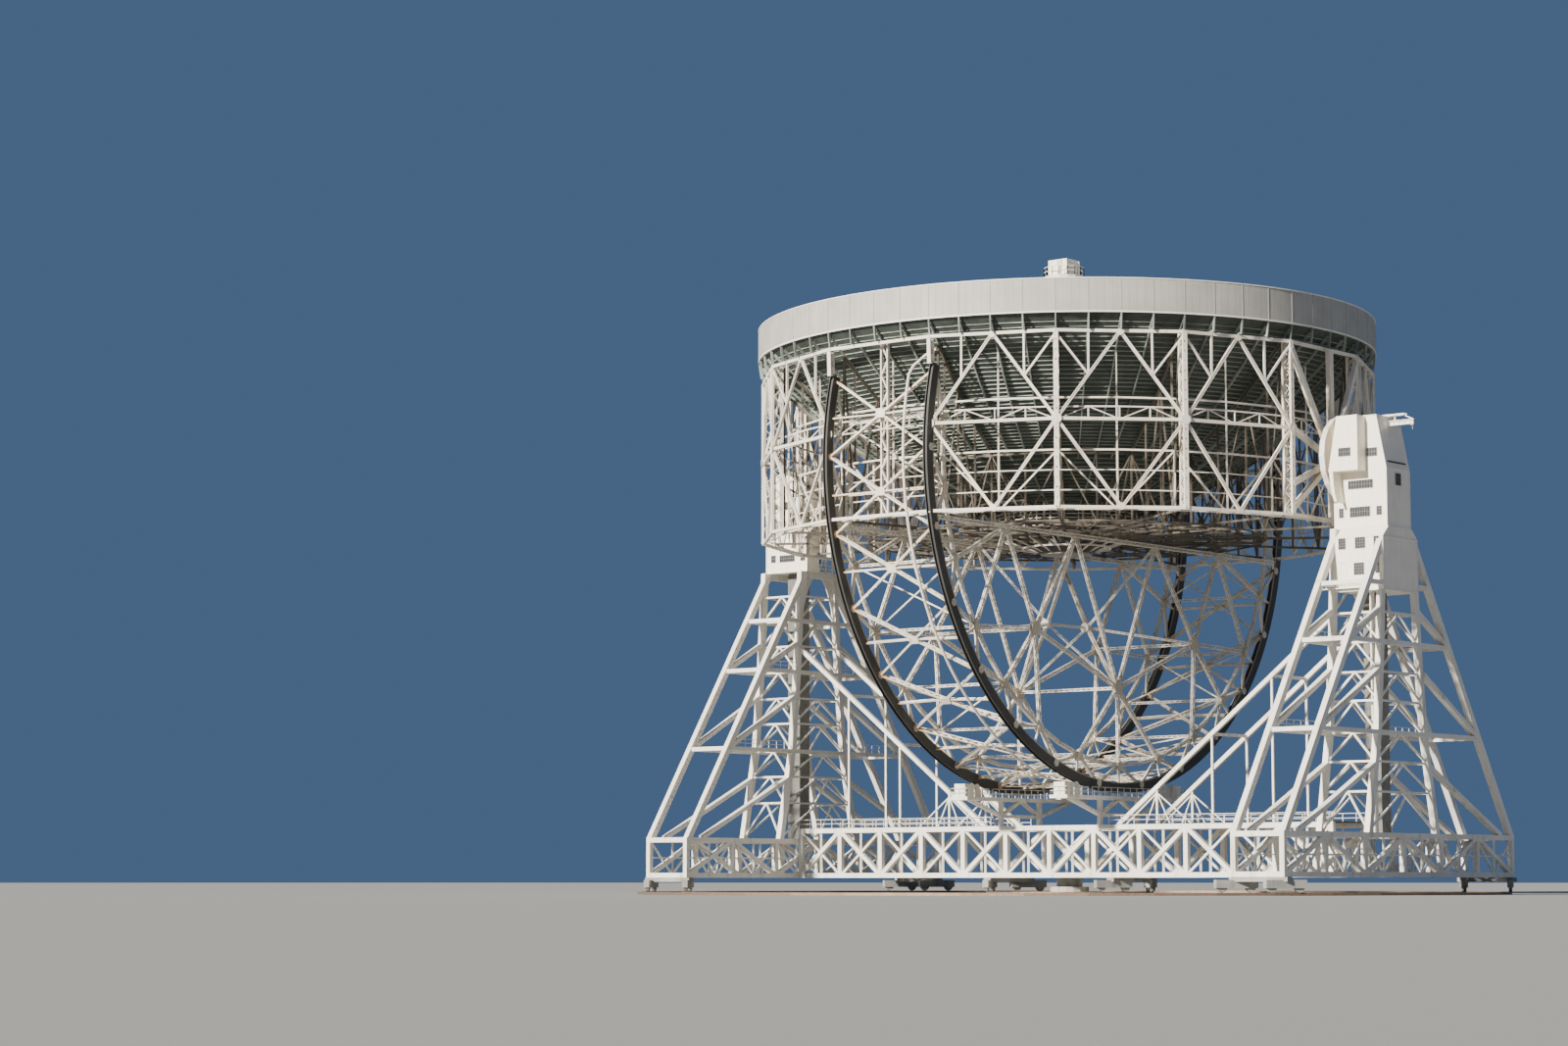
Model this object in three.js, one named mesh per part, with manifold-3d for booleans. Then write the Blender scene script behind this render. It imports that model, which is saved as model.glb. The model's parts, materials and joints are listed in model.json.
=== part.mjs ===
// Fully steerable radio telescope dish, a 1:10 model.
// Every length below is in metres of the full-size telescope, and the finished group is scaled to
// the model's millimetres. +Z is up, the origin is on the ground under the centre pivot, and X
// runs along the tilt axis from one tower to the other.
import * as THREE from 'three';
import { mergeVertices } from 'three/addons/utils/BufferGeometryUtils.js';
import Module from 'manifold-3d';

const wasm = await Module();
wasm.setup();

const MODEL_MM_PER_METRE = 100;
const GAP = 0.003;

// Bowl and its membranes
const axisHeight = 50.3;
const rimRadius = 38.1;
const rimTop = 69.5;
const rimBottom = 65.5;
const wallThickness = 0.35;
const shellRadius = rimRadius - wallThickness - GAP;
const shellThickness = 0.1;
const shellSegments = 48;
const reflectorVertex = 53.5;
const undersideVertex = 46;

// Focus mast
const platformTop = 76.4;
const platformDepth = 0.4;
const platformRadius = 2.6;
const focusBoxSize = 2.8;
const focusBoxHeight = 2.1;

// Cage round the bowl
const cageRadius = 37.74;
const cageUpper = 63.53;
const cageMiddle = 53.46;
const cageLower = 43.42;
const bayAngle = 22.5;
const halfBay = bayAngle / 2;
const ringSize = 0.42;
const diagonalSize = 0.36;
const postWidth = 0.42;
const postDepth = 1.45;
const postFace = 37.97;
const postMiddle = postFace - postDepth / 2;

// Trusses under the bowl
const hubRadius = 3.2;
const hubBottom = 41.6;
const trussThickness = 0.4;
const trussRings = [24.5];

// Wheel girders
const wheelPlane = 7.38;
const wheelRadius = 38.07;
const chordDepth = 1.2;
const chordWidth = 0.6;
const innerChordRadius = 34.7;
const facetAngle = 7.05;
const outerFacets = 15;
const innerFacets = 14;

// Trunnions
const drumRadius = 5.03;
const shaftRadius = 0.8;
const drumInner = 39.15;
const drumOuter = 39.8;
const boreRadius = 0.82;

// Towers
const framePlanes = [40, 46.2];
const frameThickness = 0.7;
const legWidth = 0.8;
const legTop = 2.5;
const legFootY = 25.3;
const columnRun = [[3.3, 41.8], [4.2, 28.6], [5.2, 18.3], [7.8, 6]];
const tierHeights = [35.3, 28.6, 18.3];
const housingInner = 39.6;
const bearingFace = 40.2;
const bearingFloor = 44.9;
const housingOuter = 46.5;
const housingHalfWidth = 2.6;
const housingFloor = 41.85;
const housingEaves = 48.6;
const wallLean = 1.2;
const housingRoof = 54.75;
const skirtBottom = 34.5;
const skirtEaves = 40.6;
const skirtHalfWidth = 3.9;

// Base on its rails
const baseTop = 8.3;
const towerBaseTop = 7;
const baseBottom = 2;
const chordHeight = 0.6;
const girderY = 4;
const railTop = 0.3;
const railWidth = 0.4;
const centreBogieX = 9.17;
const deckTop = 11.75;

const materials = {
  steel: new THREE.MeshStandardMaterial({ color: 0xe8e2d4, roughness: 0.55, metalness: 0.1 }),
  cladding: new THREE.MeshStandardMaterial({ color: 0xece6d9, roughness: 0.7, metalness: 0.05 }),
  rim: new THREE.MeshStandardMaterial({ color: 0xb7b6b0, roughness: 0.7, metalness: 0.1 }),
  reflector: new THREE.MeshStandardMaterial({ color: 0xd6d6d2, roughness: 0.6, metalness: 0.1 }),
  membrane: new THREE.MeshStandardMaterial({ color: 0x4a5850, roughness: 0.8, metalness: 0.1 }),
  darkSteel: new THREE.MeshStandardMaterial({ color: 0x66645d, roughness: 0.75, metalness: 0.2 }),
  rail: new THREE.MeshStandardMaterial({ color: 0x6d5b4c, roughness: 0.6, metalness: 0.6 }),
  concrete: new THREE.MeshStandardMaterial({ color: 0x9b968b, roughness: 0.9, metalness: 0 }),
};

const telescope = new THREE.Group();
telescope.scale.setScalar(MODEL_MM_PER_METRE);

function addPart(name, shape, material) {
  const geometry = shape.isBufferGeometry ? shape : geometryOf(shape);
  const mesh = new THREE.Mesh(geometry, material);
  mesh.name = name;
  telescope.add(mesh);
}

// Solids: three.js geometry in, manifold out, and back
function solidOf(geometry) {
  const bare = geometry.clone();
  bare.deleteAttribute('normal');
  bare.deleteAttribute('uv');
  const merged = mergeVertices(bare, 1e-5);
  const vertProperties = new Float32Array(merged.attributes.position.array);
  const triVerts = new Uint32Array(merged.index.array);
  return new wasm.Manifold(new wasm.Mesh({ numProp: 3, vertProperties, triVerts }));
}

function geometryOf(solid) {
  const mesh = solid.getMesh();
  const geometry = new THREE.BufferGeometry();
  geometry.setAttribute('position', new THREE.BufferAttribute(mesh.vertProperties, 3));
  geometry.setIndex(new THREE.BufferAttribute(mesh.triVerts, 1));
  return geometry;
}

// Fuses shapes, and clears the edges left inside faces that lie in one plane
function joined(shapes) {
  const solids = shapes.map((shape) => (shape.isBufferGeometry ? solidOf(shape) : shape));
  return tidied(solids.reduce((whole, solid) => whole.add(solid)));
}

function tidied(solid) {
  return solid.asOriginal().simplify(GAP / 3);
}

function point(x, y, z) {
  return new THREE.Vector3(x, y, z);
}

function polar(radius, degrees, z) {
  const angle = THREE.MathUtils.degToRad(degrees);
  return point(radius * Math.cos(angle), radius * Math.sin(angle), z);
}

function block(x0, x1, y0, y1, z0, z1) {
  const geometry = new THREE.BoxGeometry(Math.abs(x1 - x0), Math.abs(y1 - y0), z1 - z0);
  return geometry.translate((x0 + x1) / 2, (y0 + y1) / 2, (z0 + z1) / 2);
}

// A straight bar between two points, its depth measured towards the guide direction
function bar(from, to, width, depth = width, guide = point(0, 0, 1)) {
  const along = to.clone().sub(from);
  const length = along.length();
  along.normalize();
  const sideways = guide.clone().cross(along).normalize();
  const upward = along.clone().cross(sideways);
  const middle = from.clone().add(to).multiplyScalar(0.5);
  const placed = new THREE.Matrix4().makeBasis(sideways, upward, along).setPosition(middle);
  return new THREE.BoxGeometry(width, depth, length).applyMatrix4(placed);
}

// A flat frame: bars [u0, v0, u1, v1, width] of one thickness in a plane, fused where they cross
function flatFrame(bars, thickness) {
  const pieces = bars.map(([u0, v0, u1, v1, width]) => {
    const geometry = new THREE.BoxGeometry(Math.hypot(u1 - u0, v1 - v0), width, thickness);
    geometry.rotateZ(Math.atan2(v1 - v0, u1 - u0));
    return geometry.translate((u0 + u1) / 2, (v0 + v1) / 2, 0);
  });
  return geometryOf(joined(pieces));
}

// Stands a flat shape upright: u runs along the given level direction and v runs up
function standing(geometry, origin, along) {
  const up = point(0, 0, 1);
  const placed = new THREE.Matrix4().makeBasis(along, up, along.clone().cross(up));
  return geometry.applyMatrix4(placed.setPosition(origin));
}

// The same bars on both sides of the centre line
function mirrored(bars) {
  const opposite = bars.map(([u0, v0, u1, v1, width]) => [-u0, v0, -u1, v1, width]);
  return [...bars, ...opposite];
}

function turned(profile, segments) {
  const points = profile.map(([radius, z]) => new THREE.Vector2(radius, z));
  return new THREE.LatheGeometry(points, segments).rotateX(Math.PI / 2);
}

function ring(innerRadius, outerRadius, z0, z1, segments) {
  const corners = [[innerRadius, z0], [outerRadius, z0], [outerRadius, z1], [innerRadius, z1]];
  return turned([...corners, corners[0]], segments);
}

function disc(radius, z0, z1, segments) {
  return turned([[0, z0], [radius, z0], [radius, z1], [0, z1]], segments);
}

function extruded(corners, thickness) {
  const outline = new THREE.Shape(corners.map(([u, v]) => new THREE.Vector2(u, v)));
  const geometry = new THREE.ExtrudeGeometry(outline, { depth: thickness, bevelEnabled: false });
  return geometry.translate(0, 0, -thickness / 2);
}

// A level ring stretch that runs straight from angle to angle
function ringStretch(radius, z, angles) {
  const edge = (offset) => angles.map((angle) => {
    const corner = polar(radius + offset, angle, 0);
    return [corner.x, corner.y];
  });
  const corners = [...edge(ringSize / 2), ...edge(-ringSize / 2).reverse()];
  return extruded(corners, ringSize).translate(0, 0, z);
}

// Bowl: two membranes, the rim wall and the focus mast
function undersideHeight(radius) {
  return undersideVertex + (rimBottom - undersideVertex) * (radius / shellRadius) ** 2;
}

function reflectorHeight(radius) {
  const edgeHeight = rimTop - 3 * shellThickness;
  return reflectorVertex + (edgeHeight - reflectorVertex) * (radius / shellRadius) ** 2;
}

function dishShell(heightAt) {
  const radii = [0, 0.3, 0.65, 1].map((share) => share * shellRadius);
  const lower = radii.map((radius) => [radius, heightAt(radius)]);
  const upper = radii.map((radius) => [radius, heightAt(radius) + shellThickness]);
  return turned([...lower, ...upper.reverse()], shellSegments);
}

addPart('bowl_underside', dishShell(undersideHeight), materials.membrane);
addPart('reflector_surface', dishShell(reflectorHeight), materials.reflector);
const rimWall = ring(rimRadius - wallThickness, rimRadius, rimBottom, rimTop, shellSegments);
addPart('rim_band', rimWall, materials.rim);

const mastFoot = reflectorVertex + shellThickness + GAP;
const mastTop = platformTop - platformDepth - GAP;
const mastProfile = [
  [0, mastFoot],
  [1.6, mastFoot + 0.6],
  [1.3, mastFoot + 4],
  [0.9, mastTop],
  [0, mastTop],
];
addPart('focus_mast', turned(mastProfile, 12), materials.steel);
const platform = disc(platformRadius, platformTop - platformDepth, platformTop, 16);
addPart('focus_platform', platform, materials.steel);
const boxHalf = focusBoxSize / 2;
const boxFloor = platformTop + GAP;
const focusBox = block(-boxHalf, boxHalf, -boxHalf, boxHalf, boxFloor, boxFloor + focusBoxHeight);
addPart('focus_box', focusBox, materials.cladding);

// Cage round the bowl: posts, rings and crossed diagonals
const cageCutTop = cageUpper - ringSize / 2 - GAP;
const seamAngle = THREE.MathUtils.radToDeg(GAP / 2 / cageRadius);
const slabHalf = chordWidth / 2 + GAP;

function wheelSlabs(yMin, yMax, zMin, zMax) {
  const planes = [-wheelPlane, wheelPlane];
  return joined(planes.map((x) => block(x - slabHalf, x + slabHalf, yMin, yMax, zMin, zMax)));
}

function cagePost(angle, clearance) {
  const foot = polar(postMiddle, angle, cageLower);
  const top = polar(postMiddle, angle, cageUpper);
  return bar(foot, top, postWidth + clearance, postDepth + clearance, polar(1, angle, 0));
}

// One quarter of the cage, from a wheel girder round to the tilt axis
function cageQuarter(wheelAngle, turn) {
  const angleAt = (halfBays) => wheelAngle + turn * halfBays * halfBay;
  const run = [0, 1, 2, 3, 4, 5, 6, 7].map(angleAt);
  const trimmed = [run[0] + turn * seamAngle, ...run.slice(1, 7), run[7] - turn * seamAngle];
  const ordered = turn > 0 ? trimmed : [...trimmed].reverse();
  const middleRun = turn > 0 ? trimmed.slice(0, 7) : trimmed.slice(0, 7).reverse();
  const shapes = [
    ringStretch(cageRadius, cageUpper, ordered),
    ringStretch(cageRadius, cageLower, ordered),
    ringStretch(cageRadius, cageMiddle, middleRun),
  ];
  for (const k of [2, 4, 6]) {
    shapes.push(cagePost(angleAt(k), 0));
  }
  for (const k of [1, 3, 5]) {
    for (const level of [cageUpper, cageLower]) {
      const middleOfBay = polar(cageRadius, angleAt(k), level);
      shapes.push(bar(middleOfBay, polar(cageRadius, angleAt(k - 1), cageMiddle), diagonalSize));
      shapes.push(bar(middleOfBay, polar(cageRadius, angleAt(k + 1), cageMiddle), diagonalSize));
    }
  }
  const ribRadius = rimRadius - 0.17;
  for (const k of [1, 3, 5, 6.5]) {
    const angle = angleAt(k);
    const foot = polar(ribRadius, angle, cageUpper);
    shapes.push(bar(foot, polar(ribRadius, angle, rimBottom - GAP), 0.3, 0.3, polar(1, angle, 0)));
    shapes.push(bar(polar(cageRadius - 0.15, angle, cageUpper), foot, 0.22));
  }
  return tidied(joined(shapes).subtract(wheelSlabs(-39, 39, cageLower - 1, cageCutTop)));
}

addPart('cage_right_front', cageQuarter(-78.75, 1), materials.steel);
addPart('cage_right_back', cageQuarter(78.75, -1), materials.steel);
addPart('cage_left_back', cageQuarter(101.25, 1), materials.steel);
addPart('cage_left_front', cageQuarter(-101.25, -1), materials.steel);

// The bay between the wheel girders: ring stretches on a laced post behind the crossed bracing
const bayPostRadius = 36;

function cageWheelBay(middleAngle) {
  const angles = [-halfBay + seamAngle, 0, halfBay - seamAngle].map((step) => middleAngle + step);
  const lower = ringStretch(cageRadius, cageLower, angles);
  const upper = ringStretch(cageRadius, cageUpper, angles);
  const post = bar(
    polar(bayPostRadius, middleAngle, cageLower - ringSize / 2),
    polar(bayPostRadius, middleAngle, cageUpper - ringSize / 2),
    0.6, 0.6, polar(1, middleAngle, 0),
  );
  const brackets = [cageLower - 0.1, cageUpper - 0.1].map((z) => {
    const inner = polar(bayPostRadius - 0.2, middleAngle, z);
    return bar(inner, polar(cageRadius, middleAngle, z), 0.4, 0.3);
  });
  const clearOfWheels = wheelSlabs(-39, 39, cageLower - 1, cageCutTop);
  return tidied(joined([lower, upper, post, ...brackets]).subtract(clearOfWheels));
}

addPart('cage_front_bay', cageWheelBay(-90), materials.steel);
addPart('cage_back_bay', cageWheelBay(90), materials.steel);

// Trusses under the bowl, one upright flat truss for each cage post
const trussStart = hubRadius * Math.cos(Math.PI / 16) + GAP;
const trussEnd = postMiddle - postDepth / 2 - GAP;
const trussStations = [trussStart + 0.22, 12, 21.5, 30.5, trussEnd - 0.22];

function radialTruss(angle) {
  const topAt = (radius) => undersideHeight(radius) - 0.6;
  const bars = [[trussStart, cageLower, trussEnd, cageLower, ringSize]];
  trussStations.forEach((outer, k) => {
    bars.push([outer, cageLower, outer, topAt(outer), 0.44]);
    if (k > 0) {
      const inner = trussStations[k - 1];
      bars.push([inner, topAt(inner), outer, topAt(outer), 0.45]);
      bars.push([inner, cageLower, outer, topAt(outer), 0.36]);
    }
  });
  return standing(flatFrame(bars, trussThickness), point(0, 0, 0), polar(1, angle, 0));
}

function trussHalf(firstAngle) {
  const angles = Array.from({ length: 8 }, (_, k) => firstAngle + k * bayAngle);
  const rings = trussRings.map((radius) => ringStretch(radius, cageLower, angles));
  const wheelEnds = [-1, 1].flatMap((side) => [
    block(-9, 9, side * 35.9, side * 39, cageLower - 1, rimBottom),
    wheelSlabs(side > 0 ? 33 : -39, side > 0 ? 39 : -33, cageLower - 1, rimBottom),
  ]);
  return tidied(joined([...angles.map(radialTruss), ...rings]).subtract(joined(wheelEnds)));
}

addPart('bowl_trusses_right', trussHalf(-78.75), materials.steel);
addPart('bowl_trusses_left', trussHalf(101.25), materials.steel);
addPart('bowl_hub', disc(hubRadius, hubBottom, undersideVertex - GAP, 16), materials.darkSteel);

// Wheel girders under the bowl: chords, lacing and a web of star nodes, centred on the tilt axis
const chordRadius = wheelRadius - chordDepth / 2;
const tieSize = 0.6;
const tieLevel = cageLower - ringSize / 2 - GAP - tieSize / 2 - axisHeight;

function onWheel(radius, angle) {
  const turn = THREE.MathUtils.degToRad(angle);
  return [radius * Math.sin(turn), -radius * Math.cos(turn)];
}

// An arc of straight chords, each spanning the given number of facets
function chordArc(radius, depth, facets, span) {
  const count = (2 * facets) / span + 1;
  const steps = Array.from({ length: count }, (_, k) => (k * span - facets) * facetAngle);
  const edge = (edgeRadius) => steps.map((angle) => onWheel(edgeRadius, angle));
  return extruded([...edge(radius + depth / 2), ...edge(radius - depth / 2).reverse()], chordWidth);
}

// Star nodes as [distance from the centre line, height above ground]
const starNodes = {
  bottom: [0, 25.1],
  low: [10.9, 26.5],
  side: [16.7, 31.2],
  high: [23, 36.8],
  crown: [0, 34.8],
  shoulder: [10.2, 33.6],
};

function starWeb() {
  const at = ([distance, height]) => [distance, height - axisHeight];
  const rimNode = (facet) => onWheel(innerChordRadius, facet * facetAngle);
  const tieNode = (distance) => [distance, tieLevel];
  const { bottom, low, side, high, crown, shoulder } = starNodes;
  const links = [
    [at(bottom), rimNode(0)], [at(bottom), rimNode(2)], [at(bottom), at(low)],
    [at(bottom), at(shoulder)], [at(bottom), at(crown)], [at(low), rimNode(2)],
    [at(low), rimNode(4)], [at(low), at(side)], [at(low), at(shoulder)],
    [at(side), rimNode(4)], [at(side), rimNode(6)], [at(side), at(high)],
    [at(side), at(shoulder)], [at(high), rimNode(6)], [at(high), rimNode(8)], [at(high), rimNode(10)],
    [at(high), tieNode(17)], [at(high), tieNode(26)], [at(side), tieNode(17)],
    [at(shoulder), tieNode(17)], [at(shoulder), tieNode(7.5)], [at(shoulder), at(crown)],
    [at(crown), tieNode(7.5)], [rimNode(10), tieNode(26)],
  ];
  return mirrored(links.map(([from, to]) => [...from, ...to, 0.55]));
}

function chordLacing() {
  const bars = [];
  for (let k = -innerFacets; k <= innerFacets; k += 2) {
    const inner = onWheel(innerChordRadius, k * facetAngle);
    bars.push([...inner, ...onWheel(chordRadius, (k - 1) * facetAngle), 0.4]);
    bars.push([...inner, ...onWheel(chordRadius, (k + 1) * facetAngle), 0.4]);
  }
  return bars;
}

function wheelGirder(x) {
  const [endY, endZ] = onWheel(chordRadius, (outerFacets - 0.5) * facetAngle);
  const postTop = cageCutTop - axisHeight;
  const topPosts = mirrored([[endY, endZ, 36.9, postTop + 1, 1]]);
  const tieEnd = Math.sqrt(chordRadius ** 2 - tieLevel ** 2);
  const tie = [-tieEnd, tieLevel, tieEnd, tieLevel, tieSize];
  const whole = joined([
    chordArc(chordRadius, chordDepth, outerFacets, 1),
    chordArc(innerChordRadius, 0.6, innerFacets, 2),
    flatFrame([...starWeb(), ...chordLacing(), tie, ...topPosts], chordWidth),
  ]);
  const aboveRing = block(-40, 40, postTop, postTop + 3, -1, 1);
  const cut = tidied(whole.subtract(solidOf(aboveRing)));
  return standing(geometryOf(cut), point(x, 0, axisHeight), point(0, 1, 0));
}

addPart('wheel_girder_right', wheelGirder(wheelPlane), materials.steel);
addPart('wheel_girder_left', wheelGirder(-wheelPlane), materials.steel);

// Crossed bracing between the two outer chords: flat panels with a strut and a gusset in each
function bracingPanel() {
  const panelHalf = chordRadius * Math.sin(THREE.MathUtils.degToRad(facetAngle));
  const thickness = 0.3;
  const gussetCorners = Array.from({ length: 8 }, (_, k) => {
    const corner = polar(1.05, 22.5 + 45 * k, 0);
    return [corner.x, corner.y];
  });
  return geometryOf(joined([
    flatFrame([
      [-wheelPlane, 0, wheelPlane, 0, 0.4],
      [-wheelPlane, -panelHalf, wheelPlane, panelHalf, 0.45],
      [-wheelPlane, panelHalf, wheelPlane, -panelHalf, 0.45],
    ], thickness),
    extruded(gussetCorners, thickness),
  ]));
}

// A run of panels, counted from the lowest one, that ends just short of the next run
function wheelBracing(firstPanel, lastPanel) {
  const panelRadius = chordRadius * Math.cos(THREE.MathUtils.degToRad(facetAngle));
  const panel = bracingPanel().translate(0, 0, -panelRadius);
  const panels = [];
  for (let k = firstPanel; k <= lastPanel; k += 1) {
    panels.push(panel.clone().rotateX(THREE.MathUtils.degToRad(2 * k * facetAngle)));
  }
  const startTurn = THREE.MathUtils.degToRad((2 * firstPanel - 1) * facetAngle);
  const endTurn = THREE.MathUtils.degToRad((2 * lastPanel + 1) * facetAngle);
  const run = joined(panels)
    .trimByPlane([0, Math.cos(startTurn), Math.sin(startTurn)], GAP / 2)
    .trimByPlane([0, -Math.cos(endTurn), -Math.sin(endTurn)], GAP / 2)
    .translate([0, 0, axisHeight]);
  return tidied(run.subtract(wheelSlabs(-39, 39, 0, rimTop)));
}

addPart('wheel_bracing_front', wheelBracing(-7, -3), materials.steel);
addPart('wheel_bracing_bottom', wheelBracing(-2, 2), materials.steel);
addPart('wheel_bracing_back', wheelBracing(3, 7), materials.steel);

// Trunnion frames between the end posts of the cage, and the elevation drums outside them
const frameHubOuter = 38.4;

function trunnionFrame(side) {
  const hub = point(37.9 * side, 0, axisHeight);
  const lowSeat = cageLower + ringSize / 2 + GAP;
  const highSeat = cageUpper - ringSize / 2 - GAP;
  const hubDisc = disc(1.8, 37.6, frameHubOuter, 16).rotateY((side * Math.PI) / 2);
  const shapes = [
    hubDisc.translate(0, 0, axisHeight),
    block(side * 37.46, side * 38.1, -0.35, 0.35, lowSeat, highSeat),
  ];
  const clearances = [];
  for (const angle of [-halfBay, halfBay]) {
    const post = polar(cageRadius * side, angle, 0);
    for (const height of [62.8, cageMiddle, 47, 44.2]) {
      shapes.push(bar(hub, point(post.x, post.y, height), 0.6));
    }
    clearances.push(cagePost(side > 0 ? angle : angle + 180, 2 * GAP));
  }
  return tidied(joined(shapes).subtract(joined(clearances)));
}

function elevationDrum(side) {
  const hubStart = frameHubOuter + GAP;
  const webFace = drumOuter - 0.5;
  const profile = [
    [0, hubStart], [1.5, hubStart], [1.5, webFace], [drumRadius - 0.35, webFace],
    [drumRadius - 0.35, drumInner], [drumRadius, drumInner], [drumRadius, drumOuter],
    [shaftRadius, drumOuter], [shaftRadius, bearingFace - GAP], [0, bearingFace - GAP],
  ];
  return turned(profile, 18).rotateY((side * Math.PI) / 2).translate(0, 0, axisHeight);
}

// Towers
function trunnionBearing(side) {
  const pedestal = block(side * 39.9, side * (bearingFace - GAP), -1.4, 1.4, 48.9, 51.7);
  const bore = disc(boreRadius, 39, 41, 18).rotateY((side * Math.PI) / 2).translate(0, 0, axisHeight);
  return solidOf(pedestal).subtract(solidOf(bore));
}

// A solid with an outline in X and Z, level across the tower
function acrossTower(outline, side, middleY, depth) {
  const corners = outline.map(([x, z]) => [x * side, z]);
  return standing(extruded(corners, depth), point(0, middleY, 0), point(1, 0, 0));
}

function housing(side) {
  const outline = [
    [housingInner, housingFloor],
    [housingOuter, housingFloor],
    [housingOuter, housingEaves],
    [housingOuter - wallLean, housingRoof],
    [bearingFace, housingRoof],
    [bearingFace, bearingFloor],
    [housingInner, bearingFloor],
  ];
  return acrossTower(outline, side, 0, 2 * housingHalfWidth);
}

// The left housing stops short of an open landing at the back of its inner side
function housingWithLanding() {
  const landing = block(-43, -39, -0.1, housingHalfWidth + 1, housingFloor - 1, bearingFloor);
  return tidied(solidOf(housing(-1)).subtract(solidOf(landing)));
}

const driveBlocks = {
  right: [[40.05, 48.35], [43.9, 48.35], [43.9, 54.7], [41.2, 54.7]],
  left: [[40.1, 48.35], [43.5, 48.35], [43.5, 53.6], [42.75, 54.7], [40.1, 54.7]],
};

function driveBlock(side, outline) {
  const depth = 1.9;
  return acrossTower(outline, side, -housingHalfWidth - GAP - depth / 2, depth);
}

// The skirt under the right housing, which narrows to it at the top
function skirt() {
  const top = housingFloor - GAP;
  const outline = [
    [-skirtHalfWidth, skirtBottom],
    [skirtHalfWidth, skirtBottom],
    [skirtHalfWidth, skirtEaves],
    [housingHalfWidth, top],
    [-housingHalfWidth, top],
    [-skirtHalfWidth, skirtEaves],
  ];
  const inner = framePlanes[0] + frameThickness / 2 + GAP;
  const outer = housingOuter + 0.1;
  const length = outer - inner;
  return standing(extruded(outline, length), point(inner + length / 2, 0, 0), point(0, 1, 0));
}

const towerFootZ = towerBaseTop + GAP;

// How far a tower's leg is from the centre line at a given height
function legAt(z) {
  return legTop + ((legFootY - legTop) * (housingFloor - z)) / (housingFloor - towerFootZ);
}

function columnAt(z) {
  const upperEnd = Math.max(columnRun.findIndex(([, height]) => height < z) - 1, 0);
  const [[upperY, upperZ], [lowerY, lowerZ]] = columnRun.slice(upperEnd, upperEnd + 2);
  return upperY + ((lowerY - upperY) * (upperZ - z)) / (upperZ - lowerZ);
}

// One of the two upright flat frames of a tower
function towerFrame(side, plane, columnTop) {
  const [upper, middle, lower] = tierHeights;
  const columnLevels = [columnTop, middle, lower, towerFootZ - 1];
  const columns = columnLevels.slice(1).map((z, k) =>
    [columnAt(columnLevels[k]), columnLevels[k], columnAt(z), z, legWidth],
  );
  const half = mirrored([
    [legAt(towerFootZ - 1), towerFootZ - 1, legAt(housingFloor + 1), housingFloor + 1, legWidth],
    ...columns,
    [columnAt(upper - 2.8), upper - 2.8, legAt(middle), middle, 0.5],
    [columnAt(middle - 3), middle - 3, legAt(lower), lower, 0.5],
    [columnAt(lower - 3.5), lower - 3.5, legAt(towerFootZ) - 2.5, towerFootZ, 0.5],
  ]);
  const tiers = [upper, middle, lower].map((z) => [-legAt(z), z, legAt(z), z, 0.5]);
  const capEnd = columnAt(housingFloor);
  const cap = [-capEnd, housingFloor - 0.4, capEnd, housingFloor - 0.4, 0.8];
  const flat = flatFrame([...half, ...tiers, cap], frameThickness);
  return standing(flat, point(side * plane, 0, 0), point(0, 1, 0));
}

// Level ties that run from the inner frame to just short of the outer one
function towerTies(side) {
  const [near, far] = framePlanes;
  const tieEnd = far - frameThickness / 2 - GAP;
  return tierHeights.flatMap((z) => [-legAt(z), legAt(z)].map((y) =>
    bar(point(side * near, y, z), point(side * tieEnd, y, z), 0.5),
  ));
}

// Leaves room for the housing, and the skirt if there is one, and ends the legs on the tower's base
function fittedToTower(side, shapes, hasSkirt) {
  const rooms = [
    block(side * 39, side * 48, -8, 8, housingFloor - GAP, 60),
    block(side * 39, side * 48, -40, 40, 0, towerFootZ),
  ];
  if (hasSkirt) {
    const skirtRoom = skirtHalfWidth + GAP;
    const skirtFace = framePlanes[0] + frameThickness / 2;
    rooms.push(block(skirtFace, 48, -skirtRoom, skirtRoom, skirtBottom - GAP, 60));
  }
  return tidied(joined(shapes).subtract(joined(rooms)));
}

function liftShaft(side, top) {
  return block(side * 42.2, side * 44.2, -1, 1, towerFootZ, top - GAP);
}

// Girder trusses of the base, as flat bars between a top and a bottom chord
function baseTruss(halfLength, topLevel, bays) {
  const top = topLevel - chordHeight / 2;
  const bottom = baseBottom + chordHeight / 2;
  const bars = [top, bottom].map((level) => [-halfLength, level, halfLength, level, chordHeight]);
  const stations = trussPosts(halfLength - chordHeight / 2, bays);
  stations.forEach((station, k) => {
    bars.push([station, bottom, station, top, chordHeight]);
    if (k > 0) {
      const [from, to] = k % 2 ? [bottom, top] : [top, bottom];
      bars.push([stations[k - 1], from, station, to, 0.5]);
    }
  });
  return flatFrame(bars, chordHeight);
}

function trussPosts(reach, bays) {
  return Array.from({ length: bays + 1 }, (_, k) => reach * ((2 * k) / bays - 1));
}

function towerBase(side) {
  const flat = baseTruss(legFootY + 0.6, towerBaseTop, 6);
  const shapes = framePlanes.map((x) => standing(flat.clone(), point(side * x, 0, 0), point(0, 1, 0)));
  const [near, far] = framePlanes;
  for (const y of [-legFootY, 0, legFootY]) {
    const reach = y === 0 ? 1.3 : 0.6;
    for (const level of [towerBaseTop - chordHeight, baseBottom]) {
      shapes.push(block(side * near, side * far, y - reach, y + reach, level, level + chordHeight));
    }
  }
  return joined(shapes);
}

const bridgeEnd = framePlanes[0] - chordHeight / 2 - GAP;
const bridgeBays = 12;

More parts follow.
